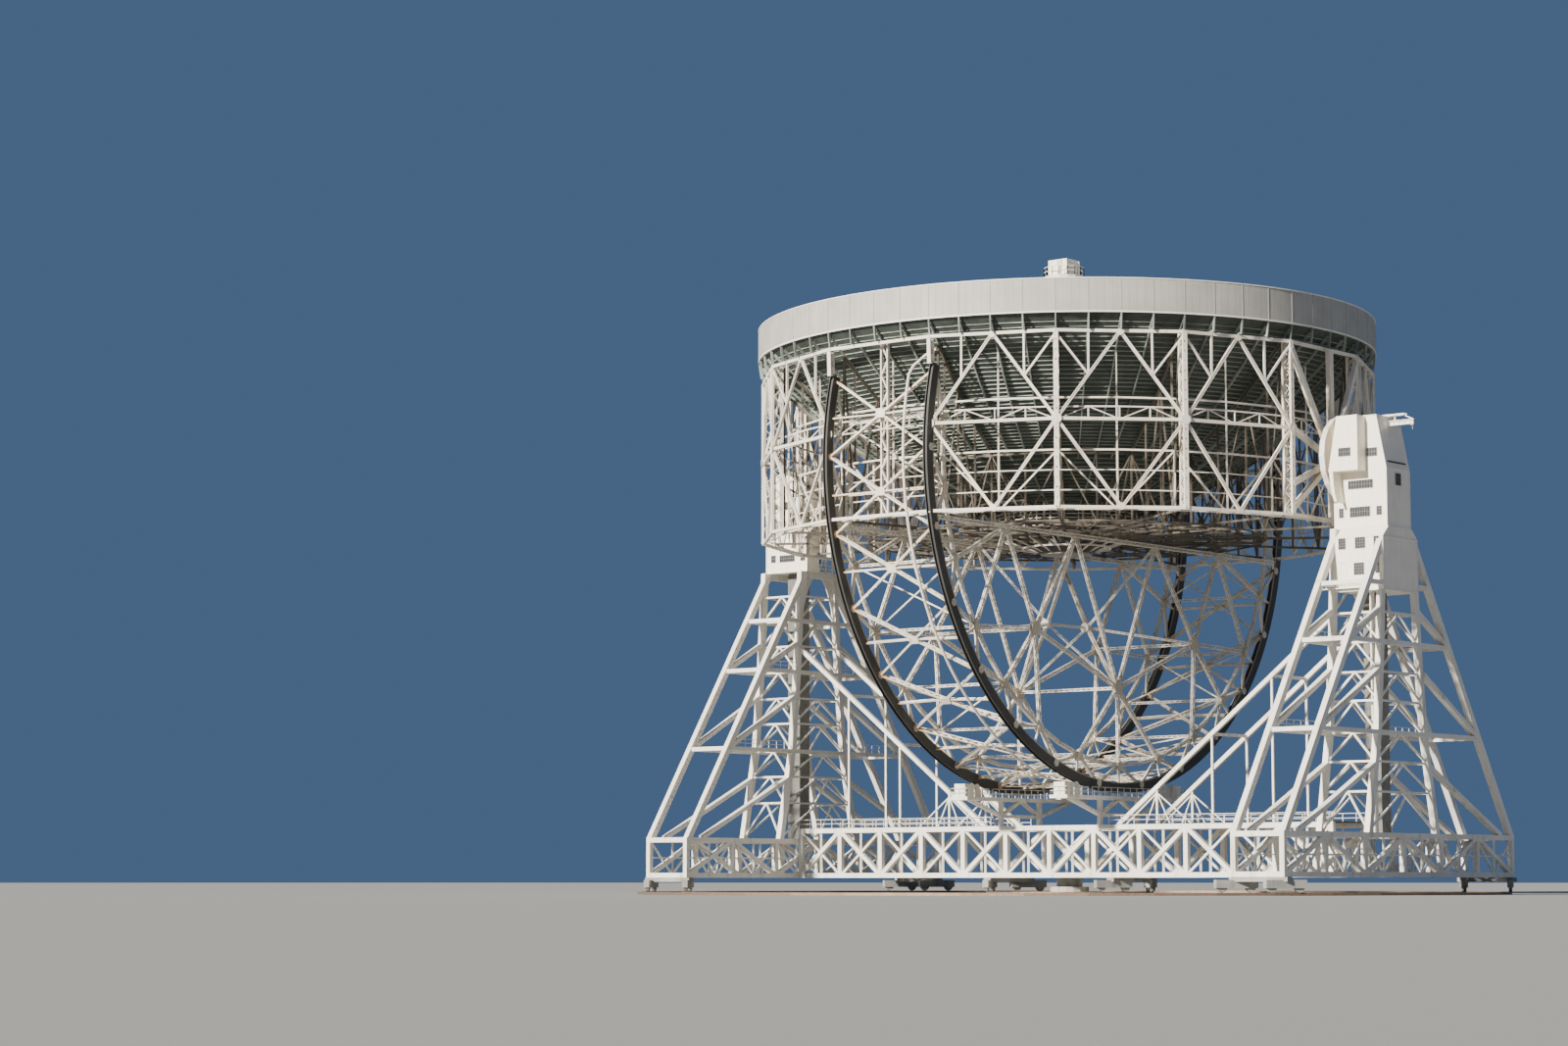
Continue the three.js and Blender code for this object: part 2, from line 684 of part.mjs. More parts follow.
function bridgeTruss(y) {
  return standing(baseTruss(bridgeEnd, baseTop, bridgeBays), point(0, y, 0), point(1, 0, 0));
}

// Cross beams that run from the back truss to just short of the front one
function bridgeBeams() {
  const frontEnd = -girderY + chordHeight / 2 + GAP;
  const beam = (x, halfWidth, level) =>
    block(x - halfWidth, x + halfWidth, frontEnd, girderY, level, level + chordHeight);
  const posts = trussPosts(bridgeEnd - chordHeight / 2, bridgeBays).filter((_, k) => k % 2 === 1);
  const beams = posts.flatMap((x) => [beam(x, 0.3, baseTop - chordHeight), beam(x, 0.3, baseBottom)]);
  return [...beams, beam(0, 1.2, baseBottom)];
}

// A bogie: a cross beam on two trucks, each with two wheels in line with its rail
function truck(x, y) {
  const wheelSize = 0.6;
  const shapes = [block(-2.5, 2.5, -0.35, 0.35, 0.8, 1.7)];
  for (const offset of [-1.7, 1.7]) {
    const wheel = new THREE.CylinderGeometry(wheelSize, wheelSize, 0.36, 10);
    shapes.push(wheel.translate(offset, 0, railTop + GAP + wheelSize));
  }
  const facing = Math.atan2(y, x) + Math.PI / 2;
  return shapes.map((shape) => shape.clone().rotateZ(facing).translate(x, y, 0));
}

function bogie(places, beam) {
  return joined([...places.flatMap(([x, y]) => truck(x, y)), block(...beam, 1.5, baseBottom - GAP)]);
}

function stayPair(side) {
  const hangers = [15.5, 23.3, 31.6];
  const stayTop = 31.6;
  const top = framePlanes[0] - frameThickness / 2 - GAP;
  const foot = [10, baseTop];
  const slope = (stayTop - foot[1]) / (top - foot[0]);
  const heightAt = (x) => foot[1] + slope * (x - foot[0]);
  const shapes = [];
  for (const y of [-3.8, 3.8]) {
    const lowEnd = point(side * (foot[0] - 2), y, heightAt(foot[0] - 2));
    shapes.push(bar(lowEnd, point(side * (top + 2), y, heightAt(top + 2)), 0.5));
    for (const x of hangers) {
      const girderTop = point(side * x, y, baseTop);
      shapes.push(bar(girderTop, point(side * x, y, heightAt(x)), 0.25, 0.25, point(1, 0, 0)));
    }
  }
  for (const x of hangers.slice(1)) {
    shapes.push(bar(point(side * x, -3.8, heightAt(x)), point(side * x, 3.8, heightAt(x)), 0.35));
  }
  const below = block(side * 1, side * 42, -6, 6, 0, baseTop + GAP);
  const beyond = block(side * top, side * 44, -6, 6, 20, 40);
  return tidied(joined(shapes).subtract(solidOf(below)).subtract(solidOf(beyond)));
}

// Deck, roller cradles and struts that carry a wheel girder on the bridge girder
function wheelSupport(x) {
  const bars = [
    ...mirrored([
      [0, 9.5, girderY, 9.5, 0.4],
      [girderY, 9.5, 10.6, deckTop - 0.3, 0.4],
      [girderY, baseTop - 0.5, girderY, deckTop - 0.3, 0.5],
      [girderY, 9.5, 0, deckTop - 0.3, 0.35],
    ]),
  ];
  const rollerSize = 0.55;
  const rollerAngle = 2 * facetAngle;
  const shapes = [
    standing(flatFrame(bars, 0.5), point(x, 0, 0), point(0, 1, 0)),
    block(x - 1.3, x + 1.3, -12.6, 12.6, deckTop - 0.4, deckTop),
  ];
  for (const side of [-1, 1]) {
    const [rollerY, rollerZ] = onWheel(wheelRadius + GAP + rollerSize, side * rollerAngle);
    const roller = new THREE.CylinderGeometry(rollerSize, rollerSize, 0.8, 12).rotateZ(Math.PI / 2);
    roller.rotateX(THREE.MathUtils.degToRad(side * rollerAngle));
    shapes.push(roller.translate(x, rollerY, axisHeight + rollerZ));
    const cradleTop = axisHeight + rollerZ - 0.2;
    shapes.push(block(x - 0.7, x + 0.7, rollerY - 0.8, rollerY + 0.8, deckTop - 0.1, cradleTop));
    shapes.push(block(x - 0.8, x + 0.8, side * 10.5, side * 12.4, deckTop - 0.1, 13.3));
  }
  const below = block(x - 2, x + 2, -14, 14, 0, baseTop + GAP);
  return tidied(joined(shapes).subtract(solidOf(below)));
}

const [nearPlane, farPlane] = framePlanes;
for (const [name, side] of [['right', 1], ['left', -1]]) {
  const hasSkirt = side > 0;
  const shaftTop = hasSkirt ? skirtBottom : housingFloor;
  addPart(`trunnion_frame_${name}`, trunnionFrame(side), materials.steel);
  addPart(`elevation_drum_${name}`, elevationDrum(side), materials.steel);
  addPart(`trunnion_bearing_${name}`, trunnionBearing(side), materials.darkSteel);
  const house = hasSkirt ? housing(side) : housingWithLanding();
  addPart(`tower_housing_${name}`, house, materials.cladding);
  addPart(`drive_block_${name}`, driveBlock(side, driveBlocks[name]), materials.cladding);
  const innerShapes = [towerFrame(side, nearPlane, housingFloor), ...towerTies(side)];
  const innerFrame = fittedToTower(side, innerShapes, hasSkirt);
  const outerFrame = fittedToTower(side, [towerFrame(side, farPlane, shaftTop)], hasSkirt);
  addPart(`tower_frame_${name}_inner`, innerFrame, materials.steel);
  addPart(`tower_frame_${name}_outer`, outerFrame, materials.steel);
  addPart(`lift_shaft_${name}`, liftShaft(side, shaftTop), materials.darkSteel);
  addPart(`tower_base_${name}`, towerBase(side), materials.steel);
  addPart(`stays_${name}`, stayPair(side), materials.steel);
  addPart(`wheel_support_${name}`, wheelSupport(side * wheelPlane), materials.steel);
  for (const [corner, y] of [['front', -legFootY], ['back', legFootY]]) {
    const places = [[side * nearPlane, y], [side * farPlane, y]];
    const beam = [side * (nearPlane - 0.6), side * (farPlane + 0.6), y - 0.5, y + 0.5];
    addPart(`bogie_${name}_${corner}`, bogie(places, beam), materials.darkSteel);
  }
  const centrePlaces = [[side * centreBogieX, -girderY], [side * centreBogieX, girderY]];
  const beamEnds = [side * (centreBogieX - 0.5), side * (centreBogieX + 0.5)];
  const centreBeam = [...beamEnds, -girderY - 0.6, girderY + 0.6];
  addPart(`centre_bogie_${name}`, bogie(centrePlaces, centreBeam), materials.darkSteel);
}
addPart('tower_skirt_right', skirt(), materials.cladding);
const hoistEnd = housingOuter + 2.35;
const hoistRail = block(housingOuter - 2.25, hoistEnd, -0.3, 0.3, housingRoof + GAP, housingRoof + 0.25);
const hoistBeam = block(housingOuter - 0.85, hoistEnd, -0.4, 0.4, housingRoof - 1, housingRoof + 0.1);
addPart('roof_hoist', joined([hoistRail, hoistBeam]), materials.steel);
addPart('bridge_girder_front', joined([bridgeTruss(-girderY)]), materials.steel);
addPart('bridge_girder_back', joined([bridgeTruss(girderY), ...bridgeBeams()]), materials.steel);

// Rails and pivot, fixed to the ground
const trackRadii = {
  track_outer_rail: Math.hypot(farPlane, legFootY),
  track_inner_rail: Math.hypot(nearPlane, legFootY),
  track_centre_rail: Math.hypot(centreBogieX, girderY),
};
for (const [name, radius] of Object.entries(trackRadii)) {
  const [inner, outer] = [radius - railWidth / 2, radius + railWidth / 2];
  addPart(name, ring(inner, outer, 0, railTop, shellSegments), materials.rail);
}
addPart('pivot_base', disc(2.4, 0, 0.9, 16), materials.concrete);
addPart('azimuth_pivot', disc(1.6, 0.9 + GAP, baseBottom - GAP, 16), materials.darkSteel);

export default telescope;
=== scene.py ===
import json
import math
import bmesh
import bpy
from mathutils import Matrix, Vector


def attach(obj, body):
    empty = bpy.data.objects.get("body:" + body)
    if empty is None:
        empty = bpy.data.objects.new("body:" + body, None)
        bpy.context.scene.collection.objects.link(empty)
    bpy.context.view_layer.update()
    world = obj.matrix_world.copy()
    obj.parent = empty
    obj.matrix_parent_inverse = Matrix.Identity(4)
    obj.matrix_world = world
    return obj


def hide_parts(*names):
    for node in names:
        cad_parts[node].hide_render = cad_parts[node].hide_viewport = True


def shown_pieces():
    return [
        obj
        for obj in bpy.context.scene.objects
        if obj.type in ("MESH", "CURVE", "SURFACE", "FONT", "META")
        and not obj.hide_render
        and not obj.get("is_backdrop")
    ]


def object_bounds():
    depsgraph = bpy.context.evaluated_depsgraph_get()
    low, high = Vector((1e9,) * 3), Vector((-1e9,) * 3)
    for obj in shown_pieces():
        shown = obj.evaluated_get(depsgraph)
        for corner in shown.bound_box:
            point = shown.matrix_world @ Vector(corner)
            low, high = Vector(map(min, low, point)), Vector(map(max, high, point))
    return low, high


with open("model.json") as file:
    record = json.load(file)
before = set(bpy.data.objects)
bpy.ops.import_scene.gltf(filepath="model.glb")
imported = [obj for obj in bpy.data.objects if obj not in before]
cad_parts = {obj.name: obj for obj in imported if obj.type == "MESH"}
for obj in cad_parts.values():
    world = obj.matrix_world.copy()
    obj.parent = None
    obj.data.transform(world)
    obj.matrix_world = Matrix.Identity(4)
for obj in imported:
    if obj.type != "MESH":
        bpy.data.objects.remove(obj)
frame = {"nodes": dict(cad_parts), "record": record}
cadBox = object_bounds()
print("frame loaded:", len(frame["nodes"]), "nodes")

unit = 0.1  # model metres for one metre of the real telescope; sizes below are real metres
up, east, north = Vector((0, 0, 1)), Vector((1, 0, 0)), Vector((0, 1, 0))


# Sizes that several pieces share
bowl = {
    "axisHeight": 50.3, "rimRadius": 38.1, "rimTop": 69.5, "rimBottom": 65.5, "shellRadius": 37.74,
    "undersideVertex": 46.0, "reflectorVertex": 53.5, "reflectorEdge": 69.2,
}
cage = {"radius": 37.74, "postFace": 37.97, "upper": 63.53, "middle": 53.46, "lower": 43.42, "bay": 22.5}
wheel = {"plane": 7.38, "outer": 38.07, "depth": 1.2, "inner": 34.7, "facet": 6.98, "limit": 105.6}
tower = {
    "planes": (40.0, 46.2), "columns": ((3.3, 41.85), (4.2, 28.6), (5.2, 18.3), (7.8, 6.0)),
    "legTop": 2.5, "legFoot": 25.3, "foot": 7.0, "inner": 39.6, "bearing": 40.2, "outer": 46.5, "half": 2.6,
    "floor": 41.85, "eaves": 48.6, "lean": 1.2, "roof": 54.75,
    "skirtHalf": 3.9, "skirtBottom": 34.5, "skirtEaves": 40.6,
}
base = {"top": 8.3, "bottom": 2.0, "girderY": 4.0, "deck": 11.75}


def point(x, y, z):
    return Vector((x, y, z))


def polar(radius, degrees, z):
    angle = math.radians(degrees)
    return Vector((radius * math.cos(angle), radius * math.sin(angle), z))


def onWheel(x, radius, degrees):
    # a point on a wheel girder, counted from its lowest point towards +Y
    angle = math.radians(degrees)
    return Vector((x, radius * math.sin(angle), bowl["axisHeight"] - radius * math.cos(angle)))


def fromAxis(degrees):
    # the direction from the tilt axis to that point
    return onWheel(0, 1, degrees) - point(0, 0, bowl["axisHeight"])


def dishHeight(radius, vertex, edge):
    return vertex + (edge - vertex) * (radius / bowl["shellRadius"]) ** 2


def undersideHeight(radius):
    return dishHeight(radius, bowl["undersideVertex"], bowl["rimBottom"])


def reflectorHeight(radius):
    return dishHeight(radius, bowl["reflectorVertex"], bowl["reflectorEdge"])


# Bars: each is (start, end, width, depth, guide), its depth measured towards the guide
def bar(start, end, width, depth=None, guide=up):
    return (start, end, width, depth or width, guide)


def upright(x, y, low, high, width, depth=None):
    return bar(point(x, y, low), point(x, y, high), width, depth, east)


def basisOf(start, end, guide):
    along = (end - start).normalized()
    sideways = guide.cross(along)
    if sideways.length < 0.01:
        sideways = Vector((0.6, 0.8, 0)).cross(along)
    sideways.normalize()
    return sideways, along.cross(sideways), along


def placed(start, end, width, depth, guide):
    sideways, upward, along = basisOf(start, end, guide)
    matrix = Matrix((sideways * width, upward * depth, end - start)).transposed().to_4x4()
    matrix.translation = (start + end) / 2
    return matrix


def appendMesh(whole, part):
    mesh = bpy.data.meshes.new("part")
    part.to_mesh(mesh)
    part.free()
    whole.from_mesh(mesh)
    bpy.data.meshes.remove(mesh)


def buildBars(bars):
    whole = bmesh.new()
    batch = 80
    for first in range(0, len(bars), batch):
        part = bmesh.new()
        for start, end, width, depth, guide in bars[first:first + batch]:
            bmesh.ops.create_cube(part, size=1, matrix=placed(start, end, width, depth, guide))
        appendMesh(whole, part)
    return whole


# A box of four corner angles with zigzag lacing on the named sides: w the two wide ones, d the deep ones
def laced(start, end, width, depth=None, guide=up, angle=0.11, pitch=None, sides="wd"):
    depth = depth or width
    pitch = pitch or width
    sideways, upward, along = basisOf(start, end, guide)
    length = (end - start).length
    halfW, halfD = (width - angle) / 2, (depth - angle) / 2
    corner = lambda s, d, t: start + along * t + sideways * (s * halfW) + upward * (d * halfD)
    bars = [(corner(s, d, 0), corner(s, d, length), angle, angle, upward) for s in (-1, 1) for d in (-1, 1)]
    steps = max(2, round(length / pitch))
    thin, wide = angle * 0.62 * 0.5, angle * 0.62 * 1.3
    for k in range(steps):
        low, high = length * k / steps, length * (k + 1) / steps
        s = 1 if k % 2 else -1
        if "w" in sides:
            bars += [(corner(s, d, low), corner(-s, d, high), wide, thin, upward) for d in (-1, 1)]
        if "d" in sides:
            bars += [(corner(d, s, low), corner(d, -s, high), thin, wide, upward) for d in (-1, 1)]
    return bars


# Two flanges, one behind the other, with zigzag lacing on both sides
def boxed(start, end, width, depth, guide, pitch=0.9, flange=0.1, lace=0.08):
    sideways, upward, along = basisOf(start, end, guide)
    length = (end - start).length
    face = upward * ((depth - flange) / 2)
    bars = [(start + face * d, end + face * d, width, flange, upward) for d in (-1, 1)]
    steps = max(2, round(length / pitch))
    for s in (-1, 1):
        edge = sideways * (s * (width - lace) / 2)
        for k in range(steps):
            low = start + along * (length * k / steps) + edge
            high = start + along * (length * (k + 1) / steps) + edge
            turn = 1 if k % 2 else -1
            bars.append((low + face * turn, high - face * turn, lace * 0.6, lace * 1.4, upward))
    return bars


# Two channels held by batten plates on both faces, with open holes between the battens
def battened(start, end, width, depth, guide, channel=0.2, pitch=1.25, plate=0.55):
    sideways, upward, along = basisOf(start, end, guide)
    length = (end - start).length
    shift = sideways * ((width - channel) / 2)
    bars = [(start + shift * s, end + shift * s, channel, depth, upward) for s in (-1, 1)]
    steps = max(2, round(length / pitch))
    for k in range(steps):
        middle = start + along * (length * (k + 0.5) / steps)
        reach = along * (length / steps * plate / 2)
        for d in (-1, 1):
            face = upward * (d * (depth / 2 - 0.03))
            bars.append((middle + face - reach, middle + face + reach, width - channel, 0.05, upward))
    return bars


def ringBars(radius, z, angles, width, depth=None):
    ends = [polar(radius, angle, z) for angle in angles]
    return [bar(ends[k], ends[k + 1], width, depth) for k in range(len(ends) - 1)]


def evenAngles(count):
    return [k * 360 / count for k in range(count + 1)]


def plateAt(bm, centre, normal, radius, thickness, sides=8, turn=0.0):
    facing = normal.to_track_quat("Z", "Y").to_matrix().to_4x4()
    matrix = Matrix.Translation(centre) @ facing @ Matrix.Rotation(turn, 4, "Z")
    bmesh.ops.create_cone(bm, cap_ends=True, segments=sides, radius1=radius, radius2=radius, depth=thickness,
                          matrix=matrix)


def spun(bm, outline, steps, axis=up, centre=Vector((0, 0, 0)), angle=2 * math.pi, closed=False):
    # outline points go round in the plane that holds the axis; a full turn is merged
    verts = [bm.verts.new(p) for p in outline]
    pairs = zip(verts, verts[1:] + verts[:1]) if closed else zip(verts, verts[1:])
    edges = [bm.edges.new(pair) for pair in pairs]
    full = abs(angle - 2 * math.pi) < 1e-6
    bmesh.ops.spin(bm, geom=verts + edges, cent=centre, axis=axis, angle=angle, steps=steps, use_merge=full)
    bmesh.ops.remove_doubles(bm, verts=bm.verts, dist=1e-4)
    if not full:
        bmesh.ops.holes_fill(bm, edges=[e for e in bm.edges if e.is_boundary], sides=len(outline))
    bmesh.ops.recalc_face_normals(bm, faces=bm.faces)


def prism(outline, shift):
    # a flat outline pushed along one direction
    bm = bmesh.new()
    verts = [bm.verts.new(corner) for corner in outline]
    edges = [bm.edges.new(pair) for pair in zip(verts, verts[1:] + verts[:1])]
    filled = bmesh.ops.edgeloop_fill(bm, edges=edges)["faces"]
    made = bmesh.ops.extrude_face_region(bm, geom=filled)["geom"]
    bmesh.ops.translate(bm, vec=shift, verts=[item for item in made if isinstance(item, bmesh.types.BMVert)])
    bmesh.ops.recalc_face_normals(bm, faces=bm.faces)
    return bm


def finishPiece(name, shape, body, material, replaced=(), smooth=False):
    # the shape is a list of bars or a bmesh, in real metres
    bm = buildBars(shape) if isinstance(shape, list) else shape
    bmesh.ops.scale(bm, vec=(unit, unit, unit), verts=bm.verts)
    mesh = bpy.data.meshes.new(name)
    bm.to_mesh(mesh)
    bm.free()
    if smooth:
        mesh.shade_smooth()
        mesh.set_sharp_from_angle(angle=math.radians(30))
    piece = bpy.data.objects.new(name, mesh)
    bpy.context.scene.collection.objects.link(piece)
    mesh.materials.append(material)
    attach(piece, body)
    if replaced:
        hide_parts(*replaced)


def onBowl(name, shape, material, replaced=(), smooth=False):
    finishPiece(name, shape, "bowl", material, replaced, smooth)


def onFrame(name, shape, material, replaced=()):
    finishPiece(name, shape, "turning_frame", material, replaced)


# Materials
def newTree(name):
    material = bpy.data.materials.new(name)
    material.use_nodes = True
    tree = material.node_tree
    return material, tree, tree.nodes["Principled BSDF"]


def put(tree, socket, value):
    if isinstance(value, bpy.types.NodeSocket):
        tree.links.new(value, socket)
    else:
        socket.default_value = value


def addNode(tree, kind, inputs, **settings):
    node = tree.nodes.new("ShaderNode" + kind)
    for key, value in settings.items():
        setattr(node, key, value)
    for key, value in inputs.items():
        put(tree, node.inputs[key], value)
    return node


def maths(tree, operation, first, second=0.0):
    return addNode(tree, "Math", {0: first, 1: second}, operation=operation).outputs[0]


def times(tree, first, second):
    return maths(tree, "MULTIPLY", first, second)


def fromMiddle(tree, value):
    # how far a value lies from the middle of its whole step, 0 to 0.5
    return maths(tree, "ABSOLUTE", maths(tree, "SUBTRACT", maths(tree, "FRACT", value), 0.5))


def noise(tree, place, scale, detail=6.0, roughness=0.6, stretch=(1, 1, 1)):
    mapped = addNode(tree, "Mapping", {"Vector": place, "Scale": stretch}).outputs[0]
    inputs = {"Vector": mapped, "Scale": scale, "Detail": detail, "Roughness": roughness}
    return addNode(tree, "TexNoise", inputs).outputs[0]


def ramp(tree, value, low, high):
    inputs = {"Value": value, "From Min": low, "From Max": high}
    return addNode(tree, "MapRange", inputs, interpolation_type="SMOOTHSTEP").outputs[0]


def mixed(tree, factor, first, second, blend="MIX"):
    inputs = {0: factor, 6: first, 7: second}
    return addNode(tree, "Mix", inputs, data_type="RGBA", blend_type=blend).outputs[2]


def colour(red, green, blue):
    return (red, green, blue, 1.0)


def objectPlace(tree):
    return addNode(tree, "TexCoord", {}).outputs["Object"]


def splitUp(tree, place):
    return addNode(tree, "SeparateXYZ", {0: place}).outputs


def finishPaint(tree, shader, surface, rough, height, strength, distance):
    put(tree, shader.inputs["Base Color"], surface)
    put(tree, shader.inputs["Roughness"], rough)
    bump = addNode(tree, "Bump", {"Height": height, "Strength": strength, "Distance": distance})
    put(tree, shader.inputs["Normal"], bump.outputs[0])


def weatheredPaint(name, tint, shade, rustShare=0.5, rough=0.55, extraRust=None):
    # paint that varies, grimes in upright streaks and rusts in patches
    material, tree, shader = newTree(name)
    place = objectPlace(tree)
    patches = noise(tree, place, 2.2, 5.0)
    streaks = noise(tree, place, 9.0, 4.0, 0.7, (1, 1, 0.12))
    spots = noise(tree, place, 7.5, 9.0, 0.72)
    plain = mixed(tree, ramp(tree, patches, 0.35, 0.68), tint, shade)
    grime = mixed(tree, 1.0, plain, colour(0.62, 0.58, 0.5), "MULTIPLY")
    grimed = mixed(tree, ramp(tree, streaks, 0.52, 0.78), plain, grime)
    rustStart = 0.74 - 0.16 * rustShare
    rust = ramp(tree, spots, rustStart, rustStart + 0.09)
    if extraRust is not None:
        rust = maths(tree, "MAXIMUM", rust, extraRust(tree, place, spots))
    rustTone = ramp(tree, noise(tree, place, 22.0), 0.3, 0.7)
    rusty = mixed(tree, rustTone, colour(0.36, 0.16, 0.055), colour(0.62, 0.36, 0.13))
    surface = mixed(tree, times(tree, rust, 0.85), grimed, rusty)
    roughness = maths(tree, "ADD", times(tree, rust, 0.25), rough)
    finishPaint(tree, shader, surface, roughness, noise(tree, place, 60.0, 3.0), 0.25, 0.002)
    return material


def rustAtJoints(tree, place, spots):
    # the panel ends beside the wheel girders rust first
    sideways = maths(tree, "ABSOLUTE", splitUp(tree, place)[0])
    distance = maths(tree, "ABSOLUTE", maths(tree, "SUBTRACT", sideways, wheel["plane"] * unit))
    near = maths(tree, "SUBTRACT", 1.0, ramp(tree, distance, 0.02, 0.2))
    return times(tree, near, ramp(tree, spots, 0.3, 0.55))


steelPaint = weatheredPaint("steel paint", colour(0.76, 0.72, 0.64), colour(0.66, 0.61, 0.53), 0.15)
towerPaint = weatheredPaint("tower paint", colour(0.78, 0.76, 0.71), colour(0.7, 0.67, 0.6), 0.05)
bracingPaint = weatheredPaint("bracing paint", colour(0.78, 0.72, 0.62), colour(0.68, 0.61, 0.5), 0.3, 0.55,
                              rustAtJoints)
# Painted shade: the steel under the bowl and the base deck get a near black-brown paint for the shadow they
# sit in, with real rust patches on it
lowerRustAndPaintedShade = weatheredPaint("lower steel, rust and painted shade", colour(0.14, 0.12, 0.095), colour(0.065, 0.055, 0.042),
                            0.6, 0.7)
# Painted shade: a grey-brown for the girder chords' inner lips, darker than their white steel, with real rust
# patches
chordPaintedShade = weatheredPaint("girder edge, rust and painted shade", colour(0.34, 0.31, 0.26), colour(0.26, 0.23, 0.19), 0.5, 0.6)
# Painted shade: a near-black paint for the girder chords' sides, outer lips and webs and for the hub shell,
# standing for deep shadow on white steel
nearBlackPaintedShade = weatheredPaint("girder web paint", colour(0.05, 0.05, 0.048), colour(0.035, 0.035, 0.033), 0.2,
                          0.65)
purlinPaint = weatheredPaint("purlin paint", colour(0.3, 0.34, 0.3), colour(0.12, 0.145, 0.125), 0.15, 0.65)
gussetPaint = weatheredPaint("gusset paint", colour(0.62, 0.57, 0.47), colour(0.5, 0.44, 0.35), 0.45, 0.6)
bogiePaint = weatheredPaint("bogie paint", colour(0.3, 0.3, 0.28), colour(0.2, 0.2, 0.19), 0.6, 0.7)


def membraneMaterial():
    material, tree, shader = newTree("membrane paint")
    place = objectPlace(tree)
    patches = ramp(tree, noise(tree, place, 5.0, 8.0, 0.7), 0.35, 0.62)
    # The membrane's own dark grey-green is darkened further here as painted shade of the bowl's underside;
    # the lighter worn streaks are real wear
    plain = mixed(tree, patches, colour(0.022, 0.03, 0.026), colour(0.045, 0.058, 0.05))
    worn = ramp(tree, noise(tree, place, 26.0, 6.0, 0.75), 0.6, 0.72)
    surface = mixed(tree, times(tree, worn, 0.6), plain, colour(0.12, 0.13, 0.11))
    finishPaint(tree, shader, surface, 0.75, noise(tree, place, 30.0), 0.3, 0.004)
    return material


def rimMaterial():
    # upright sheets with faint joints and rain streaks that run down from the top edge
    material, tree, shader = newTree("rim wall paint")
    x, y, z = splitUp(tree, objectPlace(tree))
    angle = maths(tree, "ARCTAN2", y, x)
    sheets = times(tree, angle, 256 / (2 * math.pi))
    joint = ramp(tree, fromMiddle(tree, sheets), 0.455, 0.49)
    number = addNode(tree, "CombineXYZ", {0: maths(tree, "FLOOR", sheets)}).outputs[0]
    tone = addNode(tree, "TexWhiteNoise", {"Vector": number}, noise_dimensions="3D").outputs[0]
    wrap = addNode(tree, "CombineXYZ", {0: times(tree, angle, 3.8), 2: z}).outputs[0]
    streaks = noise(tree, wrap, 14.0, 5.0, 0.7, (1, 1, 0.1))
    blotches = ramp(tree, noise(tree, wrap, 3.0, 6.0, 0.65), 0.3, 0.7)
    plain = mixed(tree, blotches, colour(0.34, 0.335, 0.31), colour(0.42, 0.41, 0.375))
    toned = mixed(tree, times(tree, tone, 0.22), plain, colour(0.3, 0.295, 0.28))
    wet = times(tree, ramp(tree, streaks, 0.5, 0.75), 0.45)
    streaked = mixed(tree, wet, toned, colour(0.28, 0.24, 0.2))
    surface = mixed(tree, times(tree, joint, 0.5), streaked, colour(0.2, 0.185, 0.165))
    finishPaint(tree, shader, surface, 0.6, maths(tree, "SUBTRACT", streaks, joint), 0.3, 0.003)
    return material


def reflectorMaterial():
    material, tree, shader = newTree("reflector paint")
    place = objectPlace(tree)
    x, y, z = splitUp(tree, place)
    angle = maths(tree, "ARCTAN2", y, x)
    flat = addNode(tree, "CombineXYZ", {0: x, 1: y}).outputs[0]
    radius = addNode(tree, "VectorMath", {0: flat}, operation="LENGTH").outputs["Value"]
    around = fromMiddle(tree, times(tree, angle, 64 / (2 * math.pi)))
    outward = fromMiddle(tree, times(tree, radius, 4.5))
    seam = maths(tree, "MAXIMUM", ramp(tree, around, 0.48, 0.495), ramp(tree, outward, 0.465, 0.49))
    patches = ramp(tree, noise(tree, place, 3.0), 0.35, 0.65)
    plain = mixed(tree, patches, colour(0.66, 0.66, 0.64), colour(0.74, 0.73, 0.7))
    dust = ramp(tree, noise(tree, place, 12.0, 8.0, 0.7), 0.55, 0.75)
    dusty = mixed(tree, dust, plain, colour(0.5, 0.48, 0.44))
    surface = mixed(tree, times(tree, seam, 0.6), dusty, colour(0.3, 0.3, 0.29))
    finishPaint(tree, shader, surface, 0.5, seam, 0.4, 0.003)
    return material


def claddingMaterial():
    # wall sheets 1.2 m wide: a joint shows on a face wherever x + y passes a whole sheet
    material, tree, shader = newTree("housing cladding")
    place = objectPlace(tree)
    x, y, z = splitUp(tree, place)
    across = maths(tree, "DIVIDE", maths(tree, "ADD", x, y), 1.2 * unit)
    seam = ramp(tree, fromMiddle(tree, across), 0.47, 0.492)
    level = ramp(tree, fromMiddle(tree, maths(tree, "DIVIDE", z, 3.4 * unit)), 0.488, 0.497)
    joint = maths(tree, "MAXIMUM", seam, times(tree, level, 0.6))
    streaks = ramp(tree, noise(tree, place, 30.0, 5.0, 0.7, (1, 1, 0.06)), 0.5, 0.78)
    patches = ramp(tree, noise(tree, place, 4.0), 0.35, 0.7)
    plain = mixed(tree, patches, colour(0.9, 0.85, 0.74), colour(0.84, 0.78, 0.67))
    streaked = mixed(tree, times(tree, streaks, 0.28), plain, colour(0.52, 0.45, 0.36))
    surface = mixed(tree, times(tree, joint, 0.3), streaked, colour(0.45, 0.41, 0.35))
    finishPaint(tree, shader, surface, 0.5, joint, 0.3, 0.002)
    return material


def plainMaterial(name, tint, rough, metallic=0.0, grain=20.0, spread=0.25):
    material, tree, shader = newTree(name)
    place = objectPlace(tree)
    darker = tuple(c * (1 - spread) for c in tint[:3]) + (1.0,)
    surface = mixed(tree, ramp(tree, noise(tree, place, grain), 0.3, 0.7), darker, tint)
    shader.inputs["Metallic"].default_value = metallic
    finishPaint(tree, shader, surface, rough, noise(tree, place, grain * 4), 0.2, 0.002)
    return material


